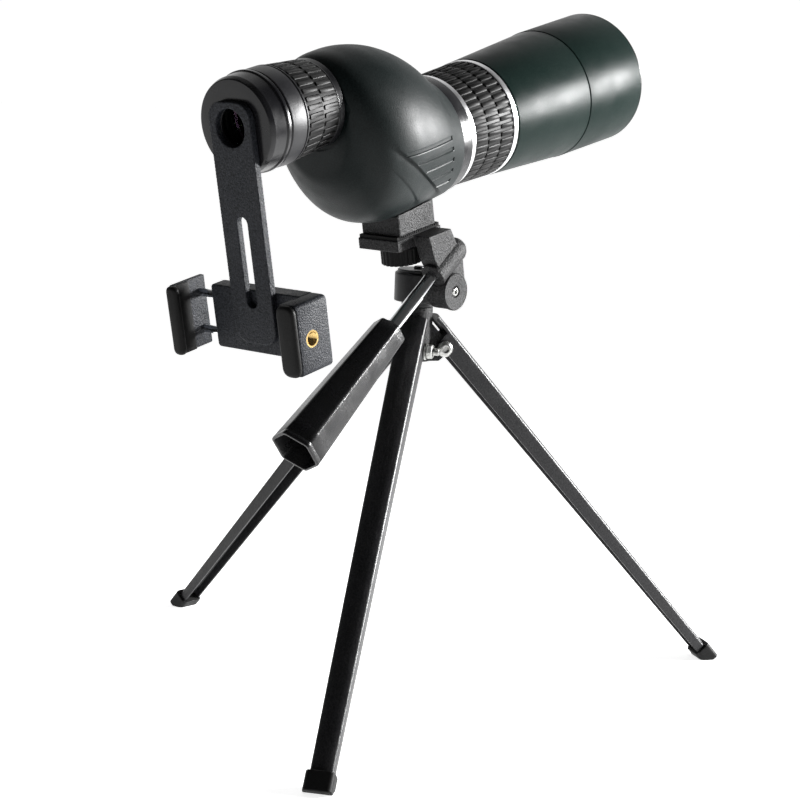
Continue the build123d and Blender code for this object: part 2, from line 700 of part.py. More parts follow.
sliding_jaw_pad = jaw_pad(phone_left, jaw_left, phone_left + pad_lip_left,
                          slider_top, slider_bottom)
sliding_jaw_pad.part.label = "sliding_jaw_pad"
export_step(sliding_jaw_pad.part, "parts/sliding_jaw_pad.step")

# Brass 1/4-20 insert in the fixed jaw's side
with BuildPart() as clamp_insert:
    with BuildSketch(side_view(right=jaw_right)):
        with Locations((insert_ahead, insert_up)):
            Circle(insert_radius)
            Circle(insert_bore, mode=Mode.SUBTRACT)
    extrude(amount=-insert_length)
clamp_insert.part.label = "clamp_insert"
export_step(clamp_insert.part, "parts/clamp_insert.step")

# ---- Tilting platform ----------------------------------------------------------------------
beside_base = Plane(origin=(base_side + 0.3, 0, 0), x_dir=(0, 1, 0), z_dir=(1, 0, 0))
socket_front = socket_rear - handle_down * socket_length
tilt_ahead = 5.7             # the tilt axis seen from the scope's origin
tilt_below = -76.8

with BuildPart() as tilt_platform:
    # platform plate under the foot
    with BuildSketch(level(plate_bottom)):
        with Locations((0, (plate_rear + plate_front) / 2)):
            Rectangle(2 * plate_half_width, plate_front - plate_rear)
    extrude(amount=pad_bottom - plate_bottom)
    # arm down the right side to the tilt ring
    with BuildSketch(side_view(right=base_side + 0.3)):
        with BuildLine():
            Polyline((-12.2, pad_bottom - 0.2), (5.6, pad_bottom - 0.2), (9.5, -53.0),
                     (13.2, -58.0), (13.2, -72.0), (tilt_ahead + tilt_radius, tilt_below),
                     (tilt_ahead, tilt_below), (-2.8, -72.5), (-4.6, -66.0),
                     (-9.6, -56.0), close=True)
        make_face()
    extrude(amount=ring_outer - base_side - 0.3)
    # ring round the axle
    with BuildSketch(beside_base):
        with Locations((0, tilt_height)):
            Circle(tilt_radius)
    extrude(amount=ring_outer - base_side - 0.3)
    # socket of the handle, with a round end
    with BuildSketch(Plane(origin=socket_rear, x_dir=(1, 0, 0), z_dir=handle_down * -1)):
        Circle(socket_radius)
    extrude(amount=socket_length)
    with Locations(socket_front):
        Sphere(socket_radius)
    # bores for the handle rod, the axle and the camera screw
    with BuildSketch(Plane(origin=socket_rear, x_dir=(1, 0, 0), z_dir=handle_down * -1)):
        Circle(rod_diameter / 2 + slide_fit)
    extrude(amount=12, mode=Mode.SUBTRACT)
    with BuildSketch(beside_base):
        with Locations((0, tilt_height)):
            Circle(axle_radius)
    extrude(amount=12, mode=Mode.SUBTRACT)
    with BuildSketch(level(plate_bottom - 1, ahead=screw_ahead)):
        Circle(screw_radius + 0.4)
    extrude(amount=10, mode=Mode.SUBTRACT)
tilt_platform.part.label = "tilt_platform"
export_step(tilt_platform.part, "parts/tilt_platform.step")

# Ribbed rubber sheet between the foot and the plate
rib_pitch, rib_depth = 1.45, 0.5
rib_count = int((plate_front - plate_rear - 3) / rib_pitch)
with BuildPart() as platform_pad:
    with BuildSketch(level(pad_bottom)):
        with Locations((0, (plate_rear + plate_front) / 2)):
            Rectangle(2 * plate_half_width - 1, plate_front - plate_rear - 1.4)
        with Locations((0, screw_ahead)):
            Circle(screw_radius + 0.4, mode=Mode.SUBTRACT)
    extrude(amount=foot_bottom - pad_bottom)
    for side in (-1, 1):
        with BuildSketch(level(pad_bottom + 0.6)):
            with Locations((side * (plate_half_width - 0.5), (plate_rear + plate_front) / 2)):
                with GridLocations(1, rib_pitch, 1, rib_count):
                    Rectangle(2 * rib_depth, rib_pitch / 2)
        extrude(amount=foot_bottom - pad_bottom - 0.6, mode=Mode.SUBTRACT)
platform_pad.part.label = "platform_pad"
export_step(platform_pad.part, "parts/platform_pad.step")

# Camera screw and its thumbwheel
with BuildPart() as camera_screw:
    with BuildSketch(level(wheel_bottom + screw_recess, ahead=screw_ahead)):
        Circle(screw_radius)
    extrude(amount=foot_bottom + screw_in_foot - wheel_bottom - screw_recess)
    with BuildSketch(level(wheel_bottom + screw_recess - screw_head_height, ahead=screw_ahead)):
        Circle(screw_head_radius)
    extrude(amount=screw_head_height)
camera_screw.part.label = "camera_screw"
export_step(camera_screw.part, "parts/camera_screw.step")

flute_count, flute_radius, flute_out = 24, 0.75, 0.25
with BuildPart() as thumbwheel:
    with BuildSketch(level(wheel_bottom, ahead=screw_ahead)):
        Circle(wheel_radius)
        with PolarLocations(wheel_radius + flute_out, flute_count):
            Circle(flute_radius, mode=Mode.SUBTRACT)
        Circle(screw_radius, mode=Mode.SUBTRACT)
    extrude(amount=wheel_top - wheel_bottom)
    with BuildSketch(level(wheel_bottom, ahead=screw_ahead)):
        Circle(screw_head_radius)
    extrude(amount=screw_recess, mode=Mode.SUBTRACT)
thumbwheel.part.label = "thumbwheel"
export_step(thumbwheel.part, "parts/thumbwheel.step")

# Axle bolt of the tilt joint: fixed in the tilting casting, turning in the pan base
with BuildPart() as tilt_axle:
    with BuildSketch(Plane(origin=(2, 0, 0), x_dir=(0, 1, 0), z_dir=(1, 0, 0))):
        with Locations((0, tilt_height)):
            Circle(axle_radius)
    extrude(amount=disc_outer - 2.4)
    with BuildSketch(Plane(origin=(disc_outer - 0.4, 0, 0), x_dir=(0, 1, 0), z_dir=(1, 0, 0))):
        with Locations((0, tilt_height)):
            Circle(2.3)
    extrude(amount=0.3)
tilt_axle.part.label = "tilt_axle"
export_step(tilt_axle.part, "parts/tilt_axle.step")

with BuildPart() as tilt_disc:
    with BuildSketch(Plane(origin=(ring_outer, 0, 0), x_dir=(0, 1, 0), z_dir=(1, 0, 0))):
        with Locations((0, tilt_height)):
            Circle(tilt_radius)
            Circle(axle_radius, mode=Mode.SUBTRACT)
    extrude(amount=disc_outer - ring_outer)
    chamfer(tilt_disc.edges().filter_by(GeomType.CIRCLE).group_by(Axis.X)[-1].sort_by(SortBy.RADIUS)[-1],
            length=0.5)
tilt_disc.part.label = "tilt_disc"
export_step(tilt_disc.part, "parts/tilt_disc.step")

# ---- Handle --------------------------------------------------------------------------------
def along_handle(distance):
    """Plane across the handle, its normal running down to the free end."""
    return Plane(origin=socket_rear + handle_down * distance, x_dir=(1, 0, 0), z_dir=handle_down)


with BuildPart() as handle_rod:
    with BuildSketch(along_handle(rod_tip)):
        Circle(rod_diameter / 2)
    extrude(amount=rod_bare_length + rod_inside - rod_tip)
    chamfer(handle_rod.edges().filter_by(GeomType.CIRCLE), length=0.5)
handle_rod.part.label = "handle_rod"
export_step(handle_rod.part, "parts/handle_rod.step")

# Flared six-sided grip, solid round the rod and hollow below it
def grip_outline(distance, across):
    """Rounded hexagon across the grip, with its ridges up and down."""
    with BuildSketch(along_handle(rod_bare_length + distance)) as outline:
        RegularPolygon(across, 6, rotation=30)
        fillet(outline.vertices(), radius=across * grip_corner)
    return outline.sketch


with BuildPart() as handle_grip:
    loft([grip_outline(0, grip_small), grip_outline(grip_length * grip_middle_at, grip_middle),
          grip_outline(grip_length, grip_large)])
    loft([grip_outline(rod_inside, grip_small - grip_wall),
          grip_outline(grip_length + 0.1, grip_large - grip_wall)], mode=Mode.SUBTRACT)
    with BuildSketch(along_handle(rod_bare_length)):
        Circle(rod_diameter / 2)
    extrude(amount=rod_inside, mode=Mode.SUBTRACT)
handle_grip.part.label = "handle_grip"
export_step(handle_grip.part, "parts/handle_grip.step")

# ---- Pan base ------------------------------------------------------------------------------
stud_radius, stud_bottom = 3.0, 176.0
with BuildPart() as pan_base:
    with BuildSketch(Plane.XY.offset(base_bottom)):
        Circle(base_radius)
    extrude(amount=base_top - base_bottom)
    chamfer(pan_base.edges().filter_by(GeomType.CIRCLE).group_by(Axis.Z)[-1], length=0.6)
    with BuildSketch(Plane.XY.offset(neck_bottom)):
        Circle(neck_radius)
    extrude(amount=base_bottom - neck_bottom)
    with BuildSketch(Plane.YZ):
        with Locations((0, tilt_height)):
            Circle(base_boss_radius)
    extrude(amount=base_side)
    with BuildSketch(Plane.YZ.offset(2)):
        with Locations((0, tilt_height)):
            Circle(axle_radius + slide_fit)
    extrude(amount=base_side, mode=Mode.SUBTRACT)
pan_base.part.label = "pan_base"
export_step(pan_base.part, "parts/pan_base.step")

# Stud that the head turns on, riveted into the pan base and running in the hub
with BuildPart() as pan_stud:
    with BuildSketch(Plane.XY.offset(stud_bottom)):
        Circle(stud_radius)
    extrude(amount=neck_bottom - stud_bottom)
pan_stud.part.label = "pan_stud"
export_step(pan_stud.part, "parts/pan_stud.step")

pan_screw_radius, pan_screw_head, pan_screw_head_height = 1.6, 2.7, 1.5
cross_length, cross_width, cross_depth = 2.8, 0.6, 0.8
with BuildPart() as pan_cap:
    with BuildSketch(Plane.XY.offset(base_top)):
        Circle(cap_radius)
        Circle(pan_screw_radius, mode=Mode.SUBTRACT)
    extrude(amount=cap_top - base_top)
    chamfer(pan_cap.edges().filter_by(GeomType.CIRCLE).group_by(Axis.Z)[-1]
            .sort_by(SortBy.RADIUS)[-1], length=0.5)
pan_cap.part.label = "pan_cap"
export_step(pan_cap.part, "parts/pan_cap.step")

with BuildPart() as pan_screw:
    with BuildSketch(Plane.XY.offset(base_top)):
        Circle(pan_screw_radius)
    extrude(amount=cap_top - base_top)
    with BuildSketch(Plane.XY.offset(cap_top)):
        Circle(pan_screw_head)
    extrude(amount=pan_screw_head_height)
    fillet(pan_screw.edges().filter_by(GeomType.CIRCLE).group_by(Axis.Z)[-1], radius=0.8)
    with BuildSketch(Plane.XY.offset(cap_top + pan_screw_head_height)):
        Rectangle(cross_length, cross_width)
        Rectangle(cross_width, cross_length)
    extrude(amount=-cross_depth, mode=Mode.SUBTRACT)
pan_screw.part.label = "pan_screw"
export_step(pan_screw.part, "parts/pan_screw.step")

# ---- Tripod --------------------------------------------------------------------------------
leg_down = (cos(radians(leg_angle)), -sin(radians(leg_angle)))     # radius, height
leg_out = (sin(radians(leg_angle)), cos(radians(leg_angle)))


def leg_point(along, out):
    """Radius and height of a point along a leg and out from its axis line."""
    return (leg_top_radius + leg_down[0] * along + leg_out[0] * out,
            leg_top_height + leg_down[1] * along + leg_out[1] * out)


def leg_plane(azimuth):
    """Upright plane through the pan axis and a leg: local x is outward, local y is up."""
    turn = radians(azimuth)
    return Plane(origin=(0, 0, 0), x_dir=(cos(turn), sin(turn), 0), z_dir=(sin(turn), -cos(turn), 0))


def across_leg(azimuth, along):
    """Plane across a leg: local x is sideways, local y is out from the leg's axis line."""
    turn = radians(azimuth)
    outward = Vector(cos(turn), sin(turn), 0)
    radius, height = leg_point(along, 0)
    down = outward * leg_down[0] + Vector(0, 0, leg_down[1])
    out = outward * leg_out[0] + Vector(0, 0, leg_out[1])
    return Plane(origin=outward * radius + Vector(0, 0, height), x_dir=out.cross(down), z_dir=down)


def sideways(azimuth):
    """Level direction along a leg's bolt, from its head to its nut."""
    return Vector(-sin(radians(azimuth)), cos(radians(azimuth)), 0)


pivot = leg_point(leg_pivot_along, -leg_pivot_in)


def bolt_plane(azimuth, distance):
    """Plane across a leg's bolt, at a distance from the leg's middle towards the nut."""
    turn = radians(azimuth)
    centre = Vector(cos(turn) * pivot[0], sin(turn) * pivot[0], pivot[1])
    return Plane(origin=centre + sideways(azimuth) * distance, x_dir=(0, 0, 1),
                 z_dir=sideways(azimuth))


# Hub: a core with a lug for each leg
lug_line = leg_point(-1.5, -leg_pivot_in + lug_radius)
with BuildPart() as tripod_hub:
    with BuildSketch(Plane.XY.offset(hub_bottom)):
        Circle(hub_radius)
    extrude(amount=hub_top - hub_bottom)
    for azimuth in leg_azimuths.values():
        with BuildSketch(leg_plane(azimuth)):
            with BuildLine():
                Polyline((2, hub_bottom), (pivot[0] - 2, hub_bottom),
                         (pivot[0] + lug_radius * 0.6, pivot[1] - lug_radius * 0.8),
                         (pivot[0] + leg_out[0] * lug_radius, pivot[1] + leg_out[1] * lug_radius),
                         lug_line, (2, lug_line[1]), close=True)
            make_face()
            with Locations(pivot):
                Circle(lug_radius)
        extrude(amount=lug_width / 2, both=True)
    for azimuth in leg_azimuths.values():
        with BuildSketch(bolt_plane(azimuth, -lug_width)):
            Circle(leg_bolt_radius)
        extrude(amount=2 * lug_width, mode=Mode.SUBTRACT)
    with BuildSketch(Plane.XY.offset(stud_bottom - 1)):
        Circle(stud_radius + slide_fit)
    extrude(amount=hub_top, mode=Mode.SUBTRACT)
tripod_hub.part.label = "tripod_hub"
export_step(tripod_hub.part, "parts/tripod_hub.step")


def channel_outline(plane, width, web, edge, inset):
    """Section of a leg: two side walls and a bowed web, or the hollow between them."""
    half = width / 2 - inset
    crown, corner = web - inset, web - inset - leg_crown
    bottom = -edge - (1.0 if inset else 0.0)
    with BuildSketch(plane) as outline:
        with BuildLine():
            Polyline((-half, corner), (-half, bottom), (half, bottom), (half, corner))
            ThreePointArc((half, corner), (0, crown), (-half, corner))
        make_face()
    return outline.sketch


boot_start = leg_length - boot_length
floor_block = 500
for name, azimuth in leg_azimuths.items():
    top = across_leg(azimuth, -leg_head)
    bottom = across_leg(azimuth, boot_start + leg_in_boot)
    with BuildPart() as leg:
        loft([channel_outline(top, leg_width_top, leg_web_top, leg_edge_top, 0),
              channel_outline(bottom, leg_width_foot, leg_web_foot, leg_edge_foot, 0)])
        loft([channel_outline(top.offset(-0.1), leg_width_top, leg_web_top, leg_edge_top, leg_wall),
              channel_outline(bottom.offset(0.1), leg_width_foot, leg_web_foot, leg_edge_foot,
                              leg_wall)], mode=Mode.SUBTRACT)
        # side walls cut away beside the hub
        with BuildSketch(leg_plane(azimuth)):
            with BuildLine():
                Polyline(leg_point(-leg_head - 2, 0.6), leg_point(6.5, 0.2), leg_point(9.5, -3.0),
                         leg_point(9.5, -9), leg_point(-leg_head - 2, -9), close=True)
            make_face()
        extrude(amount=leg_width_top, both=True, mode=Mode.SUBTRACT)
        # ears round the pivot bolt
        with BuildSketch(leg_plane(azimuth)):
            with Locations(pivot):
                Circle(leg_ear_radius)
        extrude(amount=leg_ear_outside, both=True)
        with BuildSketch(leg_plane(azimuth)):
            with Locations(pivot):
                Circle(leg_ear_radius + 0.2)
        extrude(amount=leg_ear_inside, both=True, mode=Mode.SUBTRACT)
        with BuildSketch(bolt_plane(azimuth, -leg_width_top)):
            Circle(leg_bolt_radius + slide_fit)
        extrude(amount=2 * leg_width_top, mode=Mode.SUBTRACT)
    leg.part.label = "leg_" + name
    export_step(leg.part, "parts/leg_" + name + ".step")

    # rubber boot over the leg's end, its sole cut level with the floor
    with BuildPart() as boot:
        with BuildSketch(across_leg(azimuth, boot_start)):
            with Locations((0, (leg_web_foot - leg_edge_foot) / 2)):
                RectangleRounded(boot_width, boot_depth, boot_corner)
        extrude(amount=boot_length)
        with BuildSketch(Plane.XY.offset(-boot_length - boot_depth)):
            Rectangle(floor_block, floor_block)
        extrude(amount=boot_length + boot_depth, mode=Mode.SUBTRACT)
        add(leg.part, mode=Mode.SUBTRACT)
    boot.part.label = "boot_" + name
    export_step(boot.part, "parts/boot_" + name + ".step")

# Pivot bolts, nuts and washers, one of each to a leg
with BuildPart() as leg_bolts:
    for azimuth in leg_azimuths.values():
        with BuildSketch(bolt_plane(azimuth, -bolt_face)):
            Circle(leg_bolt_radius)
        extrude(amount=bolt_face + bolt_reach)
        with BuildSketch(bolt_plane(azimuth, -bolt_face - bolt_head_height)):
            Circle(bolt_head_radius)
        extrude(amount=bolt_head_height)
leg_bolts.part.label = "leg_bolts"
export_step(leg_bolts.part, "parts/leg_bolts.step")

with BuildPart() as leg_washers:
    for azimuth in leg_azimuths.values():
        with BuildSketch(bolt_plane(azimuth, bolt_face)):
            Circle(washer_radius)
            Circle(leg_bolt_radius, mode=Mode.SUBTRACT)
        extrude(amount=washer_thickness)
leg_washers.part.label = "leg_washers"
export_step(leg_washers.part, "parts/leg_washers.step")

with BuildPart() as leg_nuts:
    for azimuth in leg_azimuths.values():
        with BuildSketch(bolt_plane(azimuth, bolt_face + washer_thickness)):
            RegularPolygon(nut_half_flats, 6, major_radius=False)
            Circle(leg_bolt_radius, mode=Mode.SUBTRACT)
        extrude(amount=nut_height)
leg_nuts.part.label = "leg_nuts"
export_step(leg_nuts.part, "parts/leg_nuts.step")
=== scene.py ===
import json
from math import asin, cos, exp, pi, radians, sin, sqrt, tan

import bmesh
import bpy
from mathutils import Matrix, Vector


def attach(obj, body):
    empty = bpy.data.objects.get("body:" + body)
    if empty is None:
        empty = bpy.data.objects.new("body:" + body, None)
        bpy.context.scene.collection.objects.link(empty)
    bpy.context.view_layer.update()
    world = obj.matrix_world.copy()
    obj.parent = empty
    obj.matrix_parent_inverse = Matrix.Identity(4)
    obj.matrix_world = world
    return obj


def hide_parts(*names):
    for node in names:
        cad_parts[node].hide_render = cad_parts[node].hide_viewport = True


# A 60 mm spotting scope on a folding table tripod, with a phone clamp on its eyepiece.
# Shapes are drawn in millimetres in the frame of the part they belong to, and placed in the
# row's frame, in metres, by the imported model's joints.

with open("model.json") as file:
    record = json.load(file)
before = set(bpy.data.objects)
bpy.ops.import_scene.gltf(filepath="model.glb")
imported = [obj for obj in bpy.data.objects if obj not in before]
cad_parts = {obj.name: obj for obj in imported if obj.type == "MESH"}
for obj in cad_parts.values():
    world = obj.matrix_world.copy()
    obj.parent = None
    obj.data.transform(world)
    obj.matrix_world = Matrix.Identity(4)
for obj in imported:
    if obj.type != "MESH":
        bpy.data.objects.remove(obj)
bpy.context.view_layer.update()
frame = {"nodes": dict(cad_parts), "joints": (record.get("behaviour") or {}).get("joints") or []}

MM = 0.001
joints = {joint["name"]: joint for joint in frame["joints"]}


# ---- Frames --------------------------------------------------------------------------------
def joint_axis(name):
    return Vector(joints[name]["axis"]).normalized()


def joint_place(name):
    return Vector(joints[name]["pos_m"])


def local_frame(origin, x_axis, y_axis, z_axis):
    """Takes millimetres along three axes to metres in the row's frame."""
    turned = Matrix((x_axis, y_axis, z_axis)).transposed() * MM
    return Matrix.Translation(origin) @ turned.to_4x4()


RIGHT = Vector((1, 0, 0))
FORWARD = joint_axis("focus_turn")
ABOVE = RIGHT.cross(FORWARD)
FOCUS_MARK, ZOOM_MARK = 40.0, -75.0      # the two rings' joint points, ahead of the origin
EYE_OFFSET = 33.3                        # eyepiece axis above the barrel axis
# scope frame: x right, y ahead along the barrel, z up across it
SCOPE = local_frame(joint_place("focus_turn") - FORWARD * FOCUS_MARK * MM, RIGHT, FORWARD, ABOVE)
EYE = local_frame(joint_place("zoom_turn") - FORWARD * ZOOM_MARK * MM, RIGHT, FORWARD, ABOVE)
ROW = local_frame(Vector(), RIGHT, Vector((0, 1, 0)), Vector((0, 0, 1)))
DOWN_HANDLE = joint_axis("handle_turn")
# handle frame: x right, y down the handle to its free end
HANDLE = local_frame(joint_place("handle_turn"), RIGHT, DOWN_HANDLE, RIGHT.cross(DOWN_HANDLE))

LEG_ANGLE = radians(48.23)
LEG_PIVOT_ALONG, LEG_PIVOT_IN = 11.5, 6.2


def leg_frame(fold):
    """Leg frame: x towards the bolt's head, y down the leg, z out of its web."""
    nut_side = joint_axis(fold)
    outward = nut_side.cross(Vector((0, 0, 1)))
    along = outward * cos(LEG_ANGLE) - Vector((0, 0, sin(LEG_ANGLE)))
    out = outward * sin(LEG_ANGLE) + Vector((0, 0, cos(LEG_ANGLE)))
    top = joint_place(fold) - along * LEG_PIVOT_ALONG * MM + out * LEG_PIVOT_IN * MM
    return local_frame(top, -nut_side, along, out)


# ---- Materials -----------------------------------------------------------------------------
def shader_of(name, metallic=0.0, **sockets):
    """A new material, its node tree and its principled shader with even values set."""
    made = bpy.data.materials.new(name)
    made.use_nodes = True
    shader = made.node_tree.nodes["Principled BSDF"]
    shader.inputs["Metallic"].default_value = metallic
    for socket, value in sockets.items():
        shader.inputs[socket.replace("_", " ")].default_value = value
    return made, made.node_tree, shader


def noise(tree, size, detail=3.0, roughness=0.55):
    """Noise in the piece's own space, its blobs about size millimetres across."""
    where = tree.nodes.new("ShaderNodeTexCoord")
    made = tree.nodes.new("ShaderNodeTexNoise")
    made.inputs["Scale"].default_value = 1 / (size * MM)
    made.inputs["Detail"].default_value = detail
    made.inputs["Roughness"].default_value = roughness
    tree.links.new(where.outputs["Object"], made.inputs["Vector"])
    return made.outputs["Fac"]


def rings(tree, size, axis):
    """Noise that changes along an axis alone, as a lathe leaves it."""
    where = tree.nodes.new("ShaderNodeTexCoord")
    along = tree.nodes.new("ShaderNodeVectorMath")
    along.operation = "DOT_PRODUCT"
    along.inputs[1].default_value = axis
    made = tree.nodes.new("ShaderNodeTexNoise")
    made.noise_dimensions = "1D"
    made.inputs["Scale"].default_value = 1 / (size * MM)
    made.inputs["Detail"].default_value = 4.0
    tree.links.new(where.outputs["Object"], along.inputs[0])
    tree.links.new(along.outputs["Value"], made.inputs["W"])
    return made.outputs["Fac"]


def ranged(tree, value, low, high, out_low, out_high):
    made = tree.nodes.new("ShaderNodeMapRange")
    for socket, number in (("From Min", low), ("From Max", high),
                           ("To Min", out_low), ("To Max", out_high)):
        made.inputs[socket].default_value = number
    tree.links.new(value, made.inputs["Value"])
    return made.outputs["Result"]


def ramp(tree, value, stops):
    made = tree.nodes.new("ShaderNodeValToRGB")
    points = made.color_ramp.elements
    while len(points) < len(stops):
        points.new(0.5)
    for point, (place, colour) in zip(points, stops):
        point.position = place
        point.color = (*colour, 1)
    tree.links.new(value, made.inputs["Fac"])
    return made.outputs["Color"]


def bump(tree, shader, height, depth):
    made = tree.nodes.new("ShaderNodeBump")
    made.inputs["Distance"].default_value = depth * MM
    tree.links.new(height, made.inputs["Height"])
    tree.links.new(made.outputs["Normal"], shader.inputs["Normal"])


def grained(name, dark, light, roughness, grain, depth, spread=0.06, blotch=14.0, **sockets):
    """A moulded or painted finish: fine grain in height and tone, slow drift in roughness."""
    made, tree, shader = shader_of(name, **sockets)
    fine = noise(tree, grain)
    broad = noise(tree, blotch)
    tree.links.new(ramp(tree, fine, ((0.34, dark), (0.66, light))), shader.inputs["Base Color"])
    tree.links.new(ranged(tree, broad, 0.3, 0.7, roughness - spread, roughness + spread),
                   shader.inputs["Roughness"])
    bump(tree, shader, fine, depth)
    return made


def turned(name, dark, light, roughness, axis, line=0.16, depth=0.006, spread=0.07, **sockets):
    """A lathe-turned finish with fine lines round the axis."""
    made, tree, shader = shader_of(name, **sockets)
    lines = rings(tree, line, axis)
    broad = noise(tree, 9.0)
    tree.links.new(ramp(tree, lines, ((0.3, dark), (0.7, light))), shader.inputs["Base Color"])
    tree.links.new(ranged(tree, broad, 0.3, 0.7, roughness - spread, roughness + spread),
                   shader.inputs["Roughness"])
    bump(tree, shader, lines, depth)
    return made


ARMOUR = grained("housing_armour", (0.002, 0.004, 0.004), (0.006, 0.010, 0.010), 0.45, 0.55, 0.070,
                 Specular_IOR_Level=0.16)
PAINT = grained("barrel_paint", (0.004, 0.009, 0.008), (0.008, 0.015, 0.013), 0.34, 0.60, 0.070,
                Specular_IOR_Level=0.062)
SATIN = turned("satin_bands", (0.62, 0.62, 0.63), (0.80, 0.80, 0.81), 0.30, FORWARD, metallic=1.0)
ANODISED = turned("black_anodised_rings", (0.004, 0.004, 0.005), (0.008, 0.008, 0.009), 0.28,
                  FORWARD, depth=0.004, Specular_IOR_Level=0.36)
GLOSS_BLACK = turned("adapter_gloss", (0.004, 0.004, 0.005), (0.007, 0.007, 0.008), 0.24, FORWARD,
                     depth=0.002, spread=0.05, Specular_IOR_Level=0.34)
RUBBER = grained("moulded_rubber", (0.004, 0.004, 0.004), (0.009, 0.009, 0.009), 0.50, 0.35, 0.02,
                 Specular_IOR_Level=0.15)
PLASTIC = grained("spark_plastic", (0.003, 0.004, 0.005), (0.028, 0.030, 0.036), 0.44, 0.80, 0.36,
                  Specular_IOR_Level=0.12)
PAD = grained("smooth_pad", (0.004, 0.004, 0.004), (0.007, 0.007, 0.007), 0.44, 0.8, 0.01,
              Specular_IOR_Level=0.10)
CASTING = grained("grained_casting", (0.003, 0.003, 0.003), (0.034, 0.034, 0.035), 0.46, 0.85, 0.42,
                  Specular_IOR_Level=0.12)
SMOOTH_CAST = grained("smooth_casting", (0.005, 0.005, 0.006), (0.010, 0.010, 0.011), 0.36, 0.6,
                      0.02, Specular_IOR_Level=0.34)
POWDER = grained("powder_coat", (0.004, 0.004, 0.005), (0.016, 0.016, 0.017), 0.38, 0.80, 0.16,
                 Specular_IOR_Level=0.34)
GRIP_PLASTIC = grained("handle_plastic", (0.004, 0.004, 0.004), (0.009, 0.009, 0.010), 0.25, 0.80,
                       0.10, Specular_IOR_Level=0.36)
CHROME = grained("bright_chrome", (0.72, 0.73, 0.74), (0.80, 0.81, 0.82), 0.07, 3.0, 0.002,
                 spread=0.03, metallic=1.0)
STEEL = grained("bright_zinc", (0.30, 0.30, 0.29), (0.46, 0.46, 0.45), 0.26, 0.8, 0.015,
                spread=0.08, metallic=1.0)
BRASS = grained("turned_brass", (0.62, 0.42, 0.15), (0.80, 0.58, 0.25), 0.22, 0.5, 0.01,
                metallic=1.0)
GLASS = grained("coated_glass", (0.70, 0.86, 0.80), (0.74, 0.90, 0.84), 0.03, 6.0, 0.0005,
                spread=0.01, Transmission_Weight=1.0, IOR=1.5, Thin_Film_Thickness=430.0,
                Thin_Film_IOR=1.38)
BAFFLE = grained("matt_baffle", (0.003, 0.003, 0.003), (0.006, 0.006, 0.006), 0.8, 0.5, 0.05,
                 Specular_IOR_Level=0.2)
SLEEVE = grained("sleeve_matt", (0.005, 0.005, 0.006), (0.013, 0.013, 0.015), 0.42, 0.32, 0.04,
                 Specular_IOR_Level=0.30)


# ---- Mesh helpers --------------------------------------------------------------------------
def rounded(points, radii, steps=4):
    """A closed outline with its corners rounded: one radius for all, or one for each."""
    outline = []
    for index, point in enumerate(points):
        radius = radii[index] if isinstance(radii, (list, tuple)) else radii
        corner = Vector(point)
        back = Vector(points[index - 1]) - corner
        on = Vector(points[(index + 1) % len(points)]) - corner
        if radius <= 0:
            outline.append(tuple(corner))
            continue
        reach = min(radius / tan(back.angle(on) / 2), 0.45 * back.length, 0.45 * on.length)
        start, end = corner + back.normalized() * reach, corner + on.normalized() * reach
        for step in range(steps + 1):
            t = step / steps
            bent = start * (1 - t) ** 2 + corner * (2 * t * (1 - t)) + end * t ** 2
            outline.append(tuple(bent))
    return outline


def join_rings(bm, loops, closed=False):
    """Quads between rings of vertices; closed joins the last ring to the first."""
    pairs = list(zip(loops, loops[1:]))
    if closed:
        pairs.append((loops[-1], loops[0]))
    for one, other in pairs:
        count = len(one)
        for index in range(count):
            after = (index + 1) % count
            bm.faces.new((one[index], one[after], other[after], other[index]))


def lathe(bm, profile, segments=128):
    """Turn a closed profile of (ahead, radius) points about the local y axis."""
    loops = []
    for step in range(segments):
        angle = 2 * pi * step / segments
        loops.append([bm.verts.new((radius * cos(angle), ahead, radius * sin(angle)))
                      for ahead, radius in profile])
    join_rings(bm, loops, closed=True)


def loft(bm, sections):
    """A closed skin over sections of equally many points, capped at both ends."""
    loops = [[bm.verts.new(point) for point in section] for section in sections]
    join_rings(bm, loops)
    bm.faces.new(loops[0])
    bm.faces.new(loops[-1])


def plate(bm, outline, axis, start, end):
    """An outline in the two other axes, drawn out along one axis."""
    sections = []
    for level in (start, end):
        section = []
        for u, v in outline:
            point = [u, v]
            point.insert(axis, level)
            section.append(tuple(point))
        sections.append(section)
    loft(bm, sections)


def new_object(name, bm, place):
    bmesh.ops.remove_doubles(bm, verts=bm.verts, dist=0.0005)
    bmesh.ops.recalc_face_normals(bm, faces=bm.faces)
    bm.transform(place)
    mesh = bpy.data.meshes.new(name)
    bm.to_mesh(mesh)
    bm.free()
    made = bpy.data.objects.new(name, mesh)
    bpy.context.scene.collection.objects.link(made)
    return made


def settle(made, body, look, stands_for=(), sharp=35, bevel=0.0):
    """Shade a piece, give it its finish, and hang it on its body."""
    mesh = made.data
    mesh.materials.clear()
    mesh.materials.append(look)
    mesh.shade_smooth()
    if bevel:
        edges = made.modifiers.new("edges", "BEVEL")
        edges.width, edges.segments = bevel * MM, 3
        edges.limit_method, edges.angle_limit = "ANGLE", radians(sharp)
        made.modifiers.new("shading", "WEIGHTED_NORMAL").keep_sharp = True
    else:
        mesh.set_sharp_from_angle(angle=radians(sharp))
    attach(made, body)
    if stands_for:
        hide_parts(*stands_for)


def turned_piece(name, profile, place, body, look, stands_for, radii=0.3, segments=144):
    """A lathe-turned piece with its corners broken."""
    bm = bmesh.new()
    lathe(bm, rounded(profile, radii, 3), segments)
    settle(new_object(name, bm, place), body, look, stands_for, sharp=50)


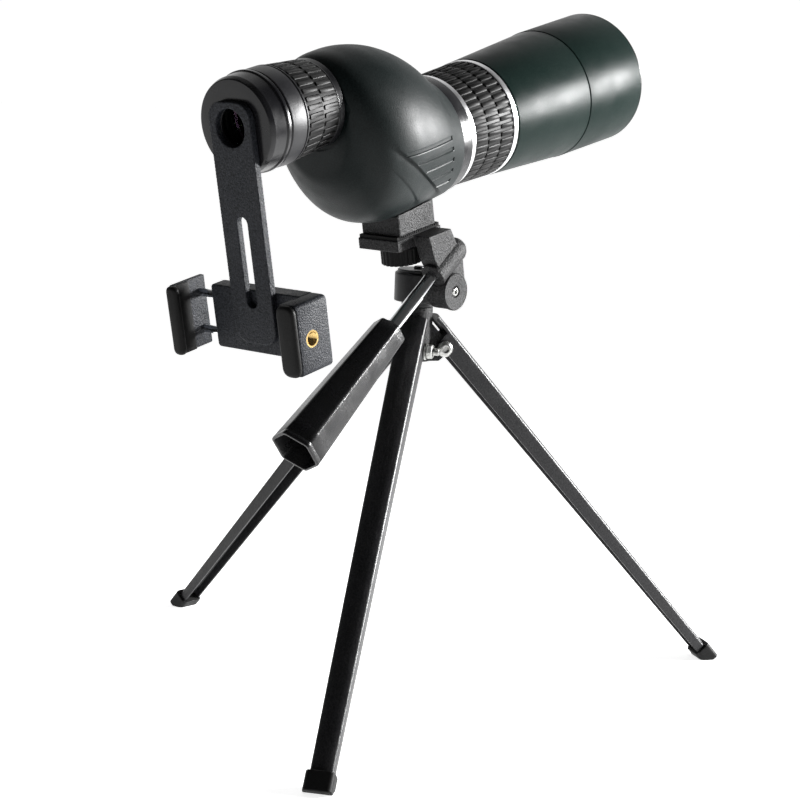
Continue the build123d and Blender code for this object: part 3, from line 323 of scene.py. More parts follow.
def cast_piece(name, node, body, look, voxel=0.35, passes=6):
    """A CAD solid with the soft edges and blends of a casting or moulding."""
    made = bpy.data.objects.new(name, frame["nodes"][node].data.copy())
    bpy.context.scene.collection.objects.link(made)
    remesh = made.modifiers.new("skin", "REMESH")
    remesh.mode, remesh.voxel_size, remesh.use_smooth_shade = "VOXEL", voxel * MM, True
    soften = made.modifiers.new("soften", "SMOOTH")
    soften.factor, soften.iterations = 0.5, passes
    settle(made, body, look, (node,), sharp=180)


def carve(made, cutters):
    """Take closed cutters away from a piece and keep the resulting mesh."""
    for cutter in cutters:
        cut = made.modifiers.new("cut", "BOOLEAN")
        cut.operation, cut.solver, cut.object = "DIFFERENCE", "EXACT", cutter
    shown = made.evaluated_get(bpy.context.evaluated_depsgraph_get())
    mesh = bpy.data.meshes.new_from_object(shown)
    made.modifiers.clear()
    made.data = mesh
    for cutter in cutters:
        bpy.data.objects.remove(cutter)


def cylinder_cutter(place, radius, start, end, segments=144):
    bm = bmesh.new()
    lathe(bm, [(start, 0.0), (start, radius), (end, radius), (end, 0.0)], segments)
    return new_object("cutter", bm, place)


def across_frame(x, ahead, up):
    """A frame at a point of the scope whose y axis runs from left to right."""
    return local_frame(SCOPE @ Vector((x, ahead, up)), ABOVE, RIGHT, ABOVE.cross(RIGHT))


# ---- Prism housing -------------------------------------------------------------------------
HOUSING_WALL = 2.4
HOUSING_STATIONS = (         # ahead, top, bottom, half width
    (-62.5, 52.0, -5.0, 22.5),
    (-57.0, 55.4, -15.5, 30.5),
    (-48.0, 56.4, -27.2, 37.2),
    (-36.0, 56.2, -32.2, 40.2),
    (-22.0, 53.2, -33.2, 39.4),
    (-8.0, 46.4, -32.6, 37.0),
    (4.0, 36.5, -31.8, 33.6),
    (12.0, 31.4, -31.4, 31.3),
)
HOUSING_REAR, HOUSING_FRONT = HOUSING_STATIONS[0][0], HOUSING_STATIONS[-1][0]
CORE_RADIUS = 27.0
EYE_SEAT, EYE_SEAT_RADIUS, EYE_TUBE_RADIUS = -61.5, 23.4, 17.9


def through(knots, at):
    """Values at a place on smooth curves through rising (place, value, value ...) knots."""
    last = len(knots) - 1
    index = max(1, min(last, sum(knot[0] < at for knot in knots)))
    low, high = knots[index - 1], knots[index]
    width = high[0] - low[0]
    t = (at - low[0]) / width

    def slope(here, value):
        one, other = knots[max(here - 1, 0)], knots[min(here + 1, last)]
        return (other[value] - one[value]) / (other[0] - one[0])

    values = []
    for value in range(1, len(low)):
        start, end = slope(index - 1, value) * width, slope(index, value) * width
        rise = high[value] - low[value]
        values.append(low[value] + start * t + (3 * rise - 2 * start - end) * t ** 2
                      + (start + end - 2 * rise) * t ** 3)
    return values


# grooves of the finger panel: level slots, stepped along the moulded crease behind them
SLOT_COUNT, SLOT_PITCH, SLOT_TOP, SLOT_HALF = 5, 5.8, 5.4, 1.15
SLOT_REAR, SLOT_REAR_STEP, SLOT_FRONT, SLOT_FRONT_STEP = -41.4, 7.8, -2.6, 1.4
SLOT_DEPTH, SLOT_DRAFT = 0.6, 0.4
# two creases on each flank, as heights at three places along the scope
CREASES = (
    (((-54.0, 17.2), (-30.0, -4.3), (-2.0, -22.5)), 1.5, 10.0),
    (((-52.0, 4.5), (-33.0, -13.7), (-16.0, -26.0)), 0.5, 6.0),
)
PANEL_LOW, PANEL_HIGH, PANEL_STEPS = -22.5, 9.5, 106
CROWN_STEPS, KEEL_STEPS = 90, 40


def ease(value):
    value = max(0.0, min(1.0, value))
    return value * value * (3 - 2 * value)


def slot_depth(ahead, up):
    """How deep the panel's grooves are at a point on the flank."""
    deepest = 0.0
    for index in range(SLOT_COUNT):
        rear = SLOT_REAR + SLOT_REAR_STEP * index
        front = SLOT_FRONT + SLOT_FRONT_STEP * index
        middle = SLOT_TOP - SLOT_PITCH * index
        inside = min(ahead - rear, front - ahead, SLOT_HALF - abs(up - middle))
        deepest = max(deepest, SLOT_DEPTH * ease(inside / SLOT_DRAFT))
    return deepest


def parabola(points, at):
    """Height at a place on the parabola through three points."""
    total = 0.0
    for index, (place, height) in enumerate(points):
        share = height
        for other, (far, _) in enumerate(points):
            if other != index:
                share *= (at - far) / (place - far)
        total += share
    return total


def crease_depth(ahead, up):
    """How far the flank steps in below its moulded creases."""
    depth = 0.0
    for points, step, reach in CREASES:
        below = (parabola(points, ahead) - up) * 0.8
        rear, front = points[0][0], points[-1][0]
        strength = ease((ahead - rear) / 12.0) * ease((front + 6.0 - ahead) / 8.0)
        if below > 0 and strength > 0:
            depth += step * strength * ease(below / 1.1) * exp(-below / reach)
    return depth


def housing_ring(bm, ahead, inset, detailed):
    """Vertices round the housing at one station, moved in by its wall and its relief."""
    top, bottom, half_width = through(HOUSING_STATIONS, ahead)
    middle, half_height = (top + bottom) / 2, (top - bottom) / 2
    low = asin((max(PANEL_LOW, middle - 0.85 * half_height) - middle) / half_height)
    high = asin((min(PANEL_HIGH, middle + 0.85 * half_height) - middle) / half_height)
    if detailed:
        levels = [sin(low) + (sin(high) - sin(low)) * k / PANEL_STEPS for k in range(PANEL_STEPS)]
        panel = [asin(level) for level in levels] + [high]
        crown = [high + (pi - 2 * high) * k / CROWN_STEPS for k in range(1, CROWN_STEPS)]
        keel = [pi - low + (pi + 2 * low) * k / KEEL_STEPS for k in range(1, KEEL_STEPS)]
        angles = panel + crown + [pi - angle for angle in reversed(panel)] + keel
    else:
        angles = [2 * pi * k / 72 for k in range(72)]
    ring = []
    for angle in angles:
        depth = inset
        if detailed:
            up = middle + half_height * sin(angle)
            depth += slot_depth(ahead, up) + crease_depth(ahead, up)
        ring.append(bm.verts.new(((half_width - depth) * cos(angle), ahead,
                                  middle + (half_height - depth) * sin(angle))))
    return ring


def housing_solid(name, inset, stations, detailed):
    bm = bmesh.new()
    loops = [housing_ring(bm, ahead, inset + extra, detailed) for ahead, extra in stations]
    join_rings(bm, loops)
    bm.faces.new(loops[0])
    bm.faces.new(loops[-1])
    return new_object(name, bm, SCOPE)


def spaced(start, end, step):
    count = max(1, round(abs(end - start) / step))
    return [start + (end - start) * k / count for k in range(count)]


def make_housing():
    rounded_rear = [(HOUSING_REAR, 2.4), (HOUSING_REAR + 0.1, 1.4), (HOUSING_REAR + 0.4, 0.6),
                    (HOUSING_REAR + 0.9, 0.15)]
    places = (spaced(HOUSING_REAR + 1.6, -46.0, 0.9) + spaced(-46.0, 6.0, 0.45)
              + spaced(6.0, HOUSING_FRONT - 0.6, 0.9))
    rounded_front = [(HOUSING_FRONT - 0.6, 0.0), (HOUSING_FRONT - 0.2, 0.12), (HOUSING_FRONT, 0.5)]
    stations = rounded_rear + [(place, 0.0) for place in places] + rounded_front
    shell = housing_solid("housing_shell", 0.0, stations, True)
    inner = [(place, 0.0) for place in spaced(-59.2, HOUSING_FRONT - 3.0, 3.0)]
    hollow = housing_solid("cutter", HOUSING_WALL, inner + [(HOUSING_FRONT - 3.0, 0.0)], False)
    carve(shell, [
        hollow,
        cylinder_cutter(EYE, EYE_SEAT_RADIUS, EYE_SEAT, EYE_SEAT - 6),
        cylinder_cutter(EYE, EYE_TUBE_RADIUS, -50.0, -66.0),
        cylinder_cutter(SCOPE, CORE_RADIUS, HOUSING_FRONT + 1, HOUSING_FRONT - 5),
    ])
    settle(shell, "scope", ARMOUR, ("prism_housing",), sharp=32)


# ---- Barrel --------------------------------------------------------------------------------
def raised_blocks(bm, start, length, rows, count, radius_at, height, fill, gap, corner=0.5):
    """Rows of raised blocks round the local y axis, each row shifted by half a pitch."""
    pitch = 2 * pi / count
    row_length = (length - gap * (rows - 1)) / rows
    for row in range(rows):
        rear = start + row * (row_length + gap)
        front = rear + row_length
        for index in range(count):
            middle = (index + row / 2) * pitch
            radius = radius_at((rear + front) / 2)
            half = fill * pitch * radius / 2
            loops = []
            for inset, rise in ((0.0, -0.2), (0.0, height - 0.22), (0.22, height)):
                outline = rounded([(rear + inset, -half + inset), (front - inset, -half + inset),
                                   (front - inset, half - inset), (rear + inset, half - inset)],
                                  corner, 2)
                loop = []
                for ahead, across in outline:
                    out = radius_at(ahead) + rise
                    angle = middle + across / radius
                    loop.append(bm.verts.new((out * cos(angle), ahead, out * sin(angle))))
                loops.append(loop)
            join_rings(bm, loops)
            bm.faces.new(loops[-1])


def grip_piece(name, node, place, body, rear, front, rear_radius, front_radius, bore, rows, count,
               height, fill, gap, margin):
    """A rubber grip ring with rows of raised blocks."""
    def floor_at(ahead):
        return (rear_radius + (front_radius - rear_radius) * (ahead - rear) / (front - rear)
                - height)

    bm = bmesh.new()
    lathe(bm, rounded([(rear, bore), (rear, floor_at(rear)), (front, floor_at(front)),
                       (front, bore)], 0.15, 2), 192)
    raised_blocks(bm, rear + margin, front - rear - 2 * margin, rows, count, floor_at, height,
                  fill, gap)
    settle(new_object(name, bm, place), body, RUBBER, (node,), sharp=40)


def make_barrel():
    turned_piece("locking_collar", [(12.0, 27.0), (12.0, 29.9), (12.9, 30.3), (20.1, 30.3),
                                    (20.1, 27.0)], SCOPE, "scope", ANODISED,
                 ("locking_ring",), 0.4)
    turned_piece("focus_core", [(20.5, 27.06), (20.5, 28.2), (58.4, 28.2), (58.4, 27.06)], SCOPE,
                 "focus_ring", ANODISED, ("focus_sleeve",), 0.1)
    turned_piece("rear_trim_band", [(20.5, 28.2), (20.5, 29.2), (21.0, 29.5), (23.9, 29.5),
                                    (23.9, 28.2)], SCOPE, "focus_ring", SATIN,
                 ("rear_band",), 0.25, 192)
    turned_piece("front_trim_band", [(54.7, 28.2), (54.7, 30.8), (57.9, 30.8), (58.4, 30.4),
                                     (58.4, 28.2)], SCOPE, "focus_ring", SATIN,
                 ("front_band",), 0.25, 192)
    grip_piece("focus_rubber", "focus_grip", SCOPE, "focus_ring", 23.9, 54.7, 29.3, 30.5, 28.2,
               3, 48, 0.6, 0.62, 0.8, 0.3)
    turned_piece("barrel_shell", [(58.8, 27.3), (58.8, 30.6), (59.2, 31.0), (118.0, 34.75),
                                  (118.0, 33.6), (160.0, 33.6), (160.0, 32.0), (66.0, 29.0),
                                  (66.0, 27.3)],
                 SCOPE, "scope", PAINT, ("front_barrel",), 0.3, 192)
    turned_piece("shade_tube", [(118.4, 33.7), (118.4, 35.0), (165.6, 35.75), (165.6, 34.0),
                                (126.4, 34.0), (126.4, 33.7)],
                 SCOPE, "sunshade", PAINT, ("sunshade",),
                 [0.1, 0.4, 0.1, 0.1, 0.1, 0.1], 192)
    turned_piece("shade_rim", [(165.65, 33.8), (165.65, 35.78), (166.3, 35.75), (167.4, 34.5),
                               (167.4, 33.3)],
                 SCOPE, "sunshade", ANODISED, (), [0.1, 0.15, 0.4, 0.4, 0.3], 192)


# ---- Eyepiece and phone adapter ------------------------------------------------------------
def make_eyepiece():
    turned_piece("zoom_collar", [(-61.9, 17.96), (-61.9, 20.6), (-62.8, 21.6), (-65.4, 21.2),
                                 (-66.3, 21.4), (-66.3, 20.2), (-89.3, 20.2), (-89.3, 17.96)],
                 EYE, "zoom_ring", ANODISED, ("zoom_ring",), 0.4)
    grip_piece("zoom_rubber", "zoom_grip", EYE, "zoom_ring", -89.3, -66.3, 23.5, 21.7, 20.2,
               2, 36, 0.6, 0.58, 1.1, 0.6)
    turned_piece("eyepiece_barrel", [(-89.7, 17.9), (-89.7, 23.3), (-90.2, 23.8), (-90.9, 23.8),
                                     (-91.1, 23.2), (-91.6, 23.2), (-91.8, 23.8), (-100.8, 23.6),
                                     (-101.9, 22.7), (-101.9, 17.9)],
                 EYE, "scope", SLEEVE, ("eyepiece_sleeve",),
                 [0, 0.4, 0.3, 0.1, 0.1, 0.1, 0.1, 0.8, 0.4, 0], 144)
    turned_piece("eyecup_rubber", [(-101.9, 15.0), (-101.9, 21.6), (-112.4, 21.6), (-112.4, 19.4),
                                   (-104.9, 19.0), (-104.9, 15.0)],
                 EYE, "scope", RUBBER, ("rubber_eyecup",), 0.6)
    turned_piece("adapter_shell", [(-102.3, 21.66), (-102.3, 23.7), (-102.7, 24.1), (-104.3, 24.1),
                                   (-105.1, 23.4), (-111.9, 22.9), (-114.5, 21.9), (-114.5, 9.0),
                                   (-112.9, 9.0), (-112.9, 21.66)],
                 EYE, "adapter", GLOSS_BLACK, ("adapter_cup",),
                 [0.1, 0.3, 0.3, 0.5, 0.5, 0.8, 0.7, 0.4, 0.4, 0.5])


JAW_TOP, JAW_BOTTOM = -44.6, -79.0
SLIDER_TOP, SLIDER_BOTTOM = -43.2, -77.6
JAW_LEFT, JAW_RIGHT = -45.5, 36.8
PHONE_LEFT, PHONE_RIGHT = -40.6, 26.8
PAD_THICK, PAD_LIP_LEFT, PAD_LIP_RIGHT, PAD_FRONT = 1.5, 2.2, 0.8, -118.6
PAD_CORNER, JAW_CORNER = 4.6, 2.6
CLAMP_FRONT, JAW_REAR, PAD_REAR = -105.8, -127.2, -130.2
CLAMP_BACK, CLAMP_TOP, CLAMP_BOTTOM = -114.5, -44.6, -76.0
BAR_LEFT, BAR_RIGHT = -30.1, 28.9
INSERT_AHEAD, INSERT_UP, INSERT_RADIUS, INSERT_DEPTH = -118.6, -62.5, 4.1, 7.0
THREAD_ROOT, THREAD_CREST, THREAD_PITCH, THREAD_TURNS = 3.3, 3.05, 0.6, 11


def upright_outline(left, right, bottom, top, radii):
    """Rounded rectangle across the scope, its corners from the lower left anticlockwise."""
    return rounded([(left, bottom), (right, bottom), (right, top), (left, top)], radii, 6)


def jaw_pad(name, node, body, inner, outer, lip, bottom, top):
    """Rubber pad: a thin face along the phone's edge and a pillow on the jaw's rear."""
    towards = 1 if outer > inner else -1
    bm = bmesh.new()
    strip = sorted((inner, inner + towards * PAD_THICK))
    plate(bm, rounded([(strip[0], PAD_FRONT), (strip[1], PAD_FRONT), (strip[1], JAW_REAR - 0.4),
                       (strip[0], JAW_REAR - 0.4)], 0.3, 3), 2, bottom + 0.3, top - 0.3)
    left, right = sorted((lip, outer))
    sections = []
    for ahead, inset in ((JAW_REAR, 0.5), (JAW_REAR - 0.25, 0.12), (JAW_REAR - 0.6, 0.0),
                         (PAD_REAR + 1.5, 0.0), (PAD_REAR + 0.9, 0.15), (PAD_REAR + 0.45, 0.5),
                         (PAD_REAR + 0.15, 1.05), (PAD_REAR, 1.8)):
        outline = upright_outline(left + inset, right - inset, bottom + inset, top - inset,
                                  min(PAD_CORNER, (right - left) * 0.45) - inset * 0.5)
        sections.append([(x, ahead, up) for x, up in outline])
    loft(bm, sections)
    settle(new_object(name, bm, SCOPE), body, PAD, (node,), sharp=55)


def jaw_block(name, left, right, bottom, top, radii):
    """A jaw: rounded along its outer edges and softly at both ends."""
    bm = bmesh.new()
    sections = []
    for ahead, inset in ((JAW_REAR, 0.5), (JAW_REAR + 0.2, 0.15), (JAW_REAR + 0.6, 0.0),
                         (CLAMP_FRONT - 1.4, 0.0), (CLAMP_FRONT - 0.7, 0.18),
                         (CLAMP_FRONT - 0.2, 0.7), (CLAMP_FRONT, 1.3)):
        outline = upright_outline(left + inset * 0.4, right - inset, bottom + inset, top - inset,
                                  radii)
        sections.append([(x, ahead, up) for x, up in outline])
    loft(bm, sections)
    return new_object(name, bm, SCOPE)


def make_clamp():
    jaw = jaw_block("clamp_jaw", PHONE_RIGHT + PAD_THICK, JAW_RIGHT, JAW_BOTTOM, JAW_TOP,
                    [0.4, JAW_CORNER, JAW_CORNER, 0.4])
    carve(jaw, [cylinder_cutter(across_frame(0, INSERT_AHEAD, INSERT_UP), INSERT_RADIUS,
                                JAW_RIGHT - INSERT_DEPTH, JAW_RIGHT + 1, 64)])
    settle(jaw, "adapter", PLASTIC, sharp=40)
    bm = bmesh.new()
    plate(bm, rounded([(BAR_LEFT, CLAMP_BOTTOM), (BAR_RIGHT, CLAMP_BOTTOM),
                       (BAR_RIGHT, CLAMP_TOP), (BAR_LEFT, CLAMP_TOP)], 2.0, 4),
          1, CLAMP_BACK, CLAMP_FRONT)
    settle(new_object("clamp_bar", bm, SCOPE), "adapter", PLASTIC,
           ("clamp_body",), sharp=40, bevel=0.8)
    slider = jaw_block("clamp_slider", JAW_LEFT, PHONE_LEFT - PAD_THICK, SLIDER_BOTTOM, SLIDER_TOP,
                       [1.5, 0.4, 0.4, 1.5])
    settle(slider, "sliding_jaw", PLASTIC, ("sliding_jaw",), sharp=40)
    jaw_pad("fixed_pad_rubber", "fixed_jaw_pad", "adapter", PHONE_RIGHT, JAW_RIGHT,
            PHONE_RIGHT - PAD_LIP_RIGHT, JAW_BOTTOM, JAW_TOP)
    jaw_pad("sliding_pad_rubber", "sliding_jaw_pad", "sliding_jaw", PHONE_LEFT, JAW_LEFT,
            PHONE_LEFT + PAD_LIP_LEFT, SLIDER_BOTTOM, SLIDER_TOP)
    # brass insert with a threaded bore, a hair proud of the jaw
    bm = bmesh.new()
    profile = [(0.0, THREAD_ROOT), (0.0, INSERT_RADIUS), (-INSERT_DEPTH, INSERT_RADIUS),
               (-INSERT_DEPTH, THREAD_CREST)]
    for turn in range(THREAD_TURNS):
        at = -INSERT_DEPTH + THREAD_PITCH * turn
        profile += [(at + 0.05, THREAD_CREST), (at + 0.3, THREAD_ROOT), (at + 0.55, THREAD_CREST)]
    lathe(bm, profile, 64)
    settle(new_object("brass_insert", bm, across_frame(JAW_RIGHT, INSERT_AHEAD, INSERT_UP)),
           "adapter", BRASS, ("clamp_insert",), sharp=40)
    cast_piece("arm_plate", "adapter_arm", "adapter", PLASTIC, 0.35, 4)


# ---- Tripod --------------------------------------------------------------------------------
LEG_LENGTH, LEG_HEAD, BOOT_LENGTH, LEG_IN_BOOT = 254.82, 3.0, 10.0, 3.0
LEG_WALL, LEG_CROWN, EAR_RADIUS = 1.2, 1.4, 4.2
LEG_END = LEG_LENGTH - BOOT_LENGTH + LEG_IN_BOOT
LEG_TOP_SIZE = (14.4, 3.7, 7.0)          # width, web out, side walls' edge in
LEG_FOOT_SIZE = (11.2, 2.3, 4.2)
WALL_START = 6.9                         # side walls begin below the hub
HEAD_FACE, HEAD_TOP, HEAD_RADIUS = -7.6, -10.2, 4.2
NUT_FACE, NUT_TOP, NUT_RADIUS, BOLT_TIP, BOLT_RADIUS = 8.5, 11.7, 4.0, 15.0, 1.95
COVER_BACK, COVER_FACE, COVER_RIM, COVER_RADIUS, COVER_BORE = 22.7, 24.7, 24.9, 9.6, 2.2
SCREW_SHANK, SCREW_HEAD = 2.1, 2.3
SOCKET_RADIUS, SOCKET_LENGTH, SOCKET_BORE, SOCKET_PROUD = 6.7, 27.2, 3.6, 0.6


def wall_edge(along, edge):
    """Where a side wall ends: short beside the hub, then an ear round the bolt."""
    if along <= WALL_START:
        return 0.3
    offset = along - LEG_PIVOT_ALONG
    if abs(offset) >= EAR_RADIUS:
        return -edge
    ear = -LEG_PIVOT_IN - sqrt(EAR_RADIUS ** 2 - offset ** 2)
    return ear if offset < 0 else min(ear, -edge)


def leg_section(along):
    """Section of the stamped channel: crowned web, rounded bends and two side walls."""
    t = (along + LEG_HEAD) / (LEG_END + LEG_HEAD)
    width, web, edge = (a + (b - a) * t for a, b in zip(LEG_TOP_SIZE, LEG_FOOT_SIZE))
    ends = wall_edge(along, edge)
    half, corner = width / 2, web - LEG_CROWN
    outer = [(-half, ends), (-half, corner), (-half * 0.5, web - LEG_CROWN * 0.25), (0, web),
             (half * 0.5, web - LEG_CROWN * 0.25), (half, corner), (half, ends)]
    inside = half - LEG_WALL
    inner = [(inside, ends), (inside, corner - LEG_WALL), (inside * 0.5, web - LEG_CROWN * 0.25
              - LEG_WALL), (0, web - LEG_WALL), (-inside * 0.5, web - LEG_CROWN * 0.25 - LEG_WALL),
             (-inside, corner - LEG_WALL), (-inside, ends)]
    radii = [0.3, 1.9, 9.0, 9.0, 9.0, 1.9, 0.3, 0.3, 0.9, 6.0, 6.0, 6.0, 0.9, 0.3]
    return [(x, along, z) for x, z in rounded(outer + inner, radii, 4)]


def make_leg(name):
    place = leg_frame(name + "_leg_fold")
    bm = bmesh.new()
    ear = [LEG_PIVOT_ALONG - EAR_RADIUS * cos(pi * k / 12) for k in range(13)]
    places = [-LEG_HEAD, -LEG_HEAD + 0.4, 3.0, WALL_START] + ear + spaced(
        20.0, LEG_END, 12.0) + [LEG_END]
    loft(bm, [leg_section(at) for at in places])
    settle(new_object("channel_" + name, bm, place), "leg_" + name, POWDER,
           ("leg_" + name,), sharp=45)
    cast_piece("shoe_" + name, "boot_" + name, "leg_" + name, RUBBER, 0.4, 5)


def bolt_frame(fold):
    """Bolt frame: y from the bolt's head to its nut."""
    nut_side = joint_axis(fold)
    outward = nut_side.cross(Vector((0, 0, 1)))
    return local_frame(joint_place(fold), outward, nut_side, outward.cross(nut_side))


def make_bolt(name, stands_for_bolts, stands_for_nuts):
    """Domed bolt with a socket in its head and a threaded tip, and its chamfered nut."""
    place = bolt_frame(name + "_leg_fold")
    bm = bmesh.new()
    profile = [(HEAD_TOP + 1.5, 0.0), (HEAD_TOP + 1.5, 1.5), (HEAD_TOP + 0.1, 1.7),
               (HEAD_TOP, 2.0), (HEAD_TOP + 0.2, 2.8), (HEAD_TOP + 0.7, 3.6),
               (HEAD_TOP + 1.4, HEAD_RADIUS), (HEAD_FACE, HEAD_RADIUS), (HEAD_FACE, BOLT_RADIUS)]
    thread = NUT_TOP - 0.4
    while thread < BOLT_TIP - 0.9:
        profile += [(thread, BOLT_RADIUS), (thread + 0.35, BOLT_RADIUS - 0.3)]
        thread += 0.7
    profile += [(BOLT_TIP - 0.4, BOLT_RADIUS - 0.1), (BOLT_TIP, BOLT_RADIUS - 0.5),
                (BOLT_TIP, 0.0)]
    lathe(bm, profile, 48)
    settle(new_object("bolt_" + name, bm, place), "tripod", STEEL, stands_for_bolts,
           sharp=40)
    bm = bmesh.new()
    sections = []
    for level, radius in ((NUT_FACE, 3.6), (NUT_FACE + 0.35, NUT_RADIUS),
                          (NUT_TOP - 0.45, NUT_RADIUS), (NUT_TOP, 3.5), (NUT_TOP, 2.1)):
        corners = [(radius * cos(radians(60 * k)), radius * sin(radians(60 * k)))
                   for k in range(6)]
        sections.append([(x, level, z) for x, z in rounded(corners, radius * 0.1, 3)])
    loft(bm, sections)
    settle(new_object("nut_" + name, bm, place), "tripod", STEEL, stands_for_nuts,
           sharp=30)


def make_tilt_cover():
    """Cover disc of the tilt joint with its screw in a counterbore."""
    place = local_frame(joint_place("tilt"), Vector((0, 1, 0)), RIGHT, Vector((0, 0, 1)))
    bm = bmesh.new()
    counterbore = COVER_FACE - 1.2
    lathe(bm, rounded([(COVER_BACK, COVER_BORE), (COVER_BACK, COVER_RADIUS - 0.1),
                       (COVER_BACK + 0.6, COVER_RADIUS), (COVER_RIM - 0.6, COVER_RADIUS),
                       (COVER_RIM, COVER_RADIUS - 0.5), (COVER_FACE, COVER_RADIUS - 1.0),
                       (COVER_FACE, COVER_BORE + 0.8), (counterbore, COVER_BORE + 0.6),
                       (counterbore, COVER_BORE)],
                      [0, 0.1, 0.2, 0.3, 0.3, 0.3, 0.3, 0.1, 0], 3), 96)
    settle(new_object("tilt_cover", bm, place), "scope", CASTING, ("tilt_disc",),
           sharp=40)
    bm = bmesh.new()
    lathe(bm, [(2.0, 0.0), (2.0, SCREW_SHANK - 0.1), (2.1, SCREW_SHANK), (23.2, SCREW_SHANK),
               (23.4, SCREW_HEAD), (24.1, SCREW_HEAD), (24.6, SCREW_HEAD - 0.4),
               (COVER_FACE, 1.1), (23.9, 1.0), (23.8, 0.0)], 64)
    settle(new_object("tilt_screw", bm, place), "scope", STEEL, ("tilt_axle",), sharp=35)


def make_socket():
    """Round-ended socket of the handle, standing proud of the arm's face."""
    aside = Matrix.Translation(RIGHT * SOCKET_PROUD * MM)
    bm = bmesh.new()
    lathe(bm, [(0.0, SOCKET_BORE), (0.0, 6.0), (-0.5, SOCKET_RADIUS), (-21.5, SOCKET_RADIUS),
               (-23.6, 6.0), (-25.4, 4.6), (-26.7, 2.6), (-SOCKET_LENGTH, 0.0), (-12.0, 0.0),
               (-12.0, SOCKET_BORE)], 64)
    settle(new_object("socket_barrel", bm, aside @ HANDLE), "scope", CASTING,
           sharp=40)


def make_tripod():
    for name in ("left", "near", "right"):
        make_leg(name)
    make_bolt("near", ("leg_bolts",), ("leg_nuts",))
    make_bolt("left", (), ())
    make_bolt("right", (), ())
    make_tilt_cover()
    make_socket()
    cast_piece("hub_casting", "tripod_hub", "tripod", CASTING, 0.35, 4)
    cast_piece("pan_casting", "pan_base", "pan_head", SMOOTH_CAST, 0.3, 4)
    cast_piece("tilt_casting", "tilt_platform", "scope", CASTING, 0.3, 4)
    cast_piece("foot_block", "mounting_foot", "scope", CASTING, 0.3, 2)
    cast_piece("wheel_moulding", "thumbwheel", "thumbscrew", PAD, 0.2, 3)


# ---- Handle --------------------------------------------------------------------------------
GRIP_START, GRIP_LENGTH = 39.8, 85.6
GRIP_SMALL, GRIP_MIDDLE, GRIP_LARGE, GRIP_WALL = 9.3, 11.0, 13.6, 1.8
GRIP_MIDDLE_AT, GRIP_HOLLOW = 0.4, 20.6
LINE_START, LINE_END, LINE_ANGLE, LINE_HALF = 9.0, 56.0, 66.0, 0.3


def hexagon(across, at, turn=30):
    """Rounded hexagon across the handle, its ridges up and down."""
    corners = [(across * cos(radians(turn + 60 * k)), across * sin(radians(turn + 60 * k)))
               for k in range(6)]
    return [(x, GRIP_START + at, z) for x, z in rounded(corners, across * 0.22, 5)]


def grip_radius(at):
    """Corner radius of the grip: nearly straight near the rod, flaring to its free end."""
    return through(((0.0, GRIP_SMALL), (GRIP_LENGTH * GRIP_MIDDLE_AT, GRIP_MIDDLE),
                    (GRIP_LENGTH, GRIP_LARGE)), at)[0]


def make_handle():
    bm = bmesh.new()
    outside = [(0.0, -1.0), (0.25, -0.35), (0.9, 0.0)]
    sections = [hexagon(grip_radius(at) + extra, at) for at, extra in outside]
    sections += [hexagon(grip_radius(at), at) for at in spaced(6.0, GRIP_LENGTH - 3.4, 6.0)]
    sections += [hexagon(grip_radius(at) + extra, at) for at, extra in
                 ((GRIP_LENGTH - 3.4, 0.0), (GRIP_LENGTH - 3.1, -0.22), (GRIP_LENGTH - 2.8, 0.0),
                  (GRIP_LENGTH - 0.7, 0.0), (GRIP_LENGTH - 0.15, -0.25), (GRIP_LENGTH, -0.8))]
    sections += [hexagon(grip_radius(at) - extra, at) for at, extra in
                 ((GRIP_LENGTH - 0.1, 1.4), (GRIP_LENGTH - 0.8, GRIP_WALL),
                  (GRIP_LENGTH * 0.6, GRIP_WALL), (GRIP_HOLLOW, GRIP_WALL))]
    loft(bm, sections)
    # moulded line along a facet, and the collar round the rod
    bead = []
    for at in spaced(LINE_START, LINE_END, 5.0) + [LINE_END]:
        flat = grip_radius(at) * cos(radians(30)) / cos(radians(LINE_ANGLE - 60))
        middle = Vector((flat * cos(radians(LINE_ANGLE)), 0, flat * sin(radians(LINE_ANGLE))))
        across = Vector((-sin(radians(60)), 0, cos(radians(60)))) * LINE_HALF
        out = Vector((cos(radians(60)), 0, sin(radians(60))))
        down = Vector((0, GRIP_START + at, 0))
        bead.append([tuple(middle + down + across * side + out * rise) for side, rise in
                     ((-1, -0.4), (1, -0.4), (1, 0.08), (0.5, 0.22), (-0.5, 0.22), (-1, 0.08))])
    loft(bm, bead)
    lathe(bm, rounded([(GRIP_START - 1.6, 3.6), (GRIP_START - 1.6, 5.9), (GRIP_START + 1.0, 6.4),
                       (GRIP_START + 1.0, 3.6)], [0.2, 0.5, 0.2, 0.2], 3), 64)
    settle(new_object("grip_moulding", bm, HANDLE), "handle", GRIP_PLASTIC,
           ("handle_grip",), sharp=40)


# ---- Carried-over CAD nodes ----------------------------------------------------------------
def dress_nodes():
    """The small and inner CAD nodes keep their shapes and take a finish."""
    looks = {
        "crown_lens": GLASS, "flint_lens": GLASS, "eye_lens": GLASS, "field_lens": GLASS,
        "focus_lens": GLASS, "zoom_lens": GLASS, "prism_rear": GLASS, "prism_front": GLASS,
        "prism_plate": STEEL, "prism_straps": STEEL, "core_tube": ANODISED,
        "focus_carriage": ANODISED, "zoom_carriage": ANODISED, "eyepiece_tube": ANODISED,
        "objective_cell": BAFFLE, "lens_retainer": ANODISED,
        "handle_rod": CHROME, "platform_pad": BAFFLE, "foot_insert": BRASS,
        "camera_screw": CHROME, "pan_stud": STEEL, "pan_cap": SMOOTH_CAST, "pan_screw": ANODISED,
        "leg_washers": STEEL, "guide_rods": CHROME,
    }
    for node, look in looks.items():
        mesh = frame["nodes"][node].data
        mesh.materials.clear()
        mesh.materials.append(look)


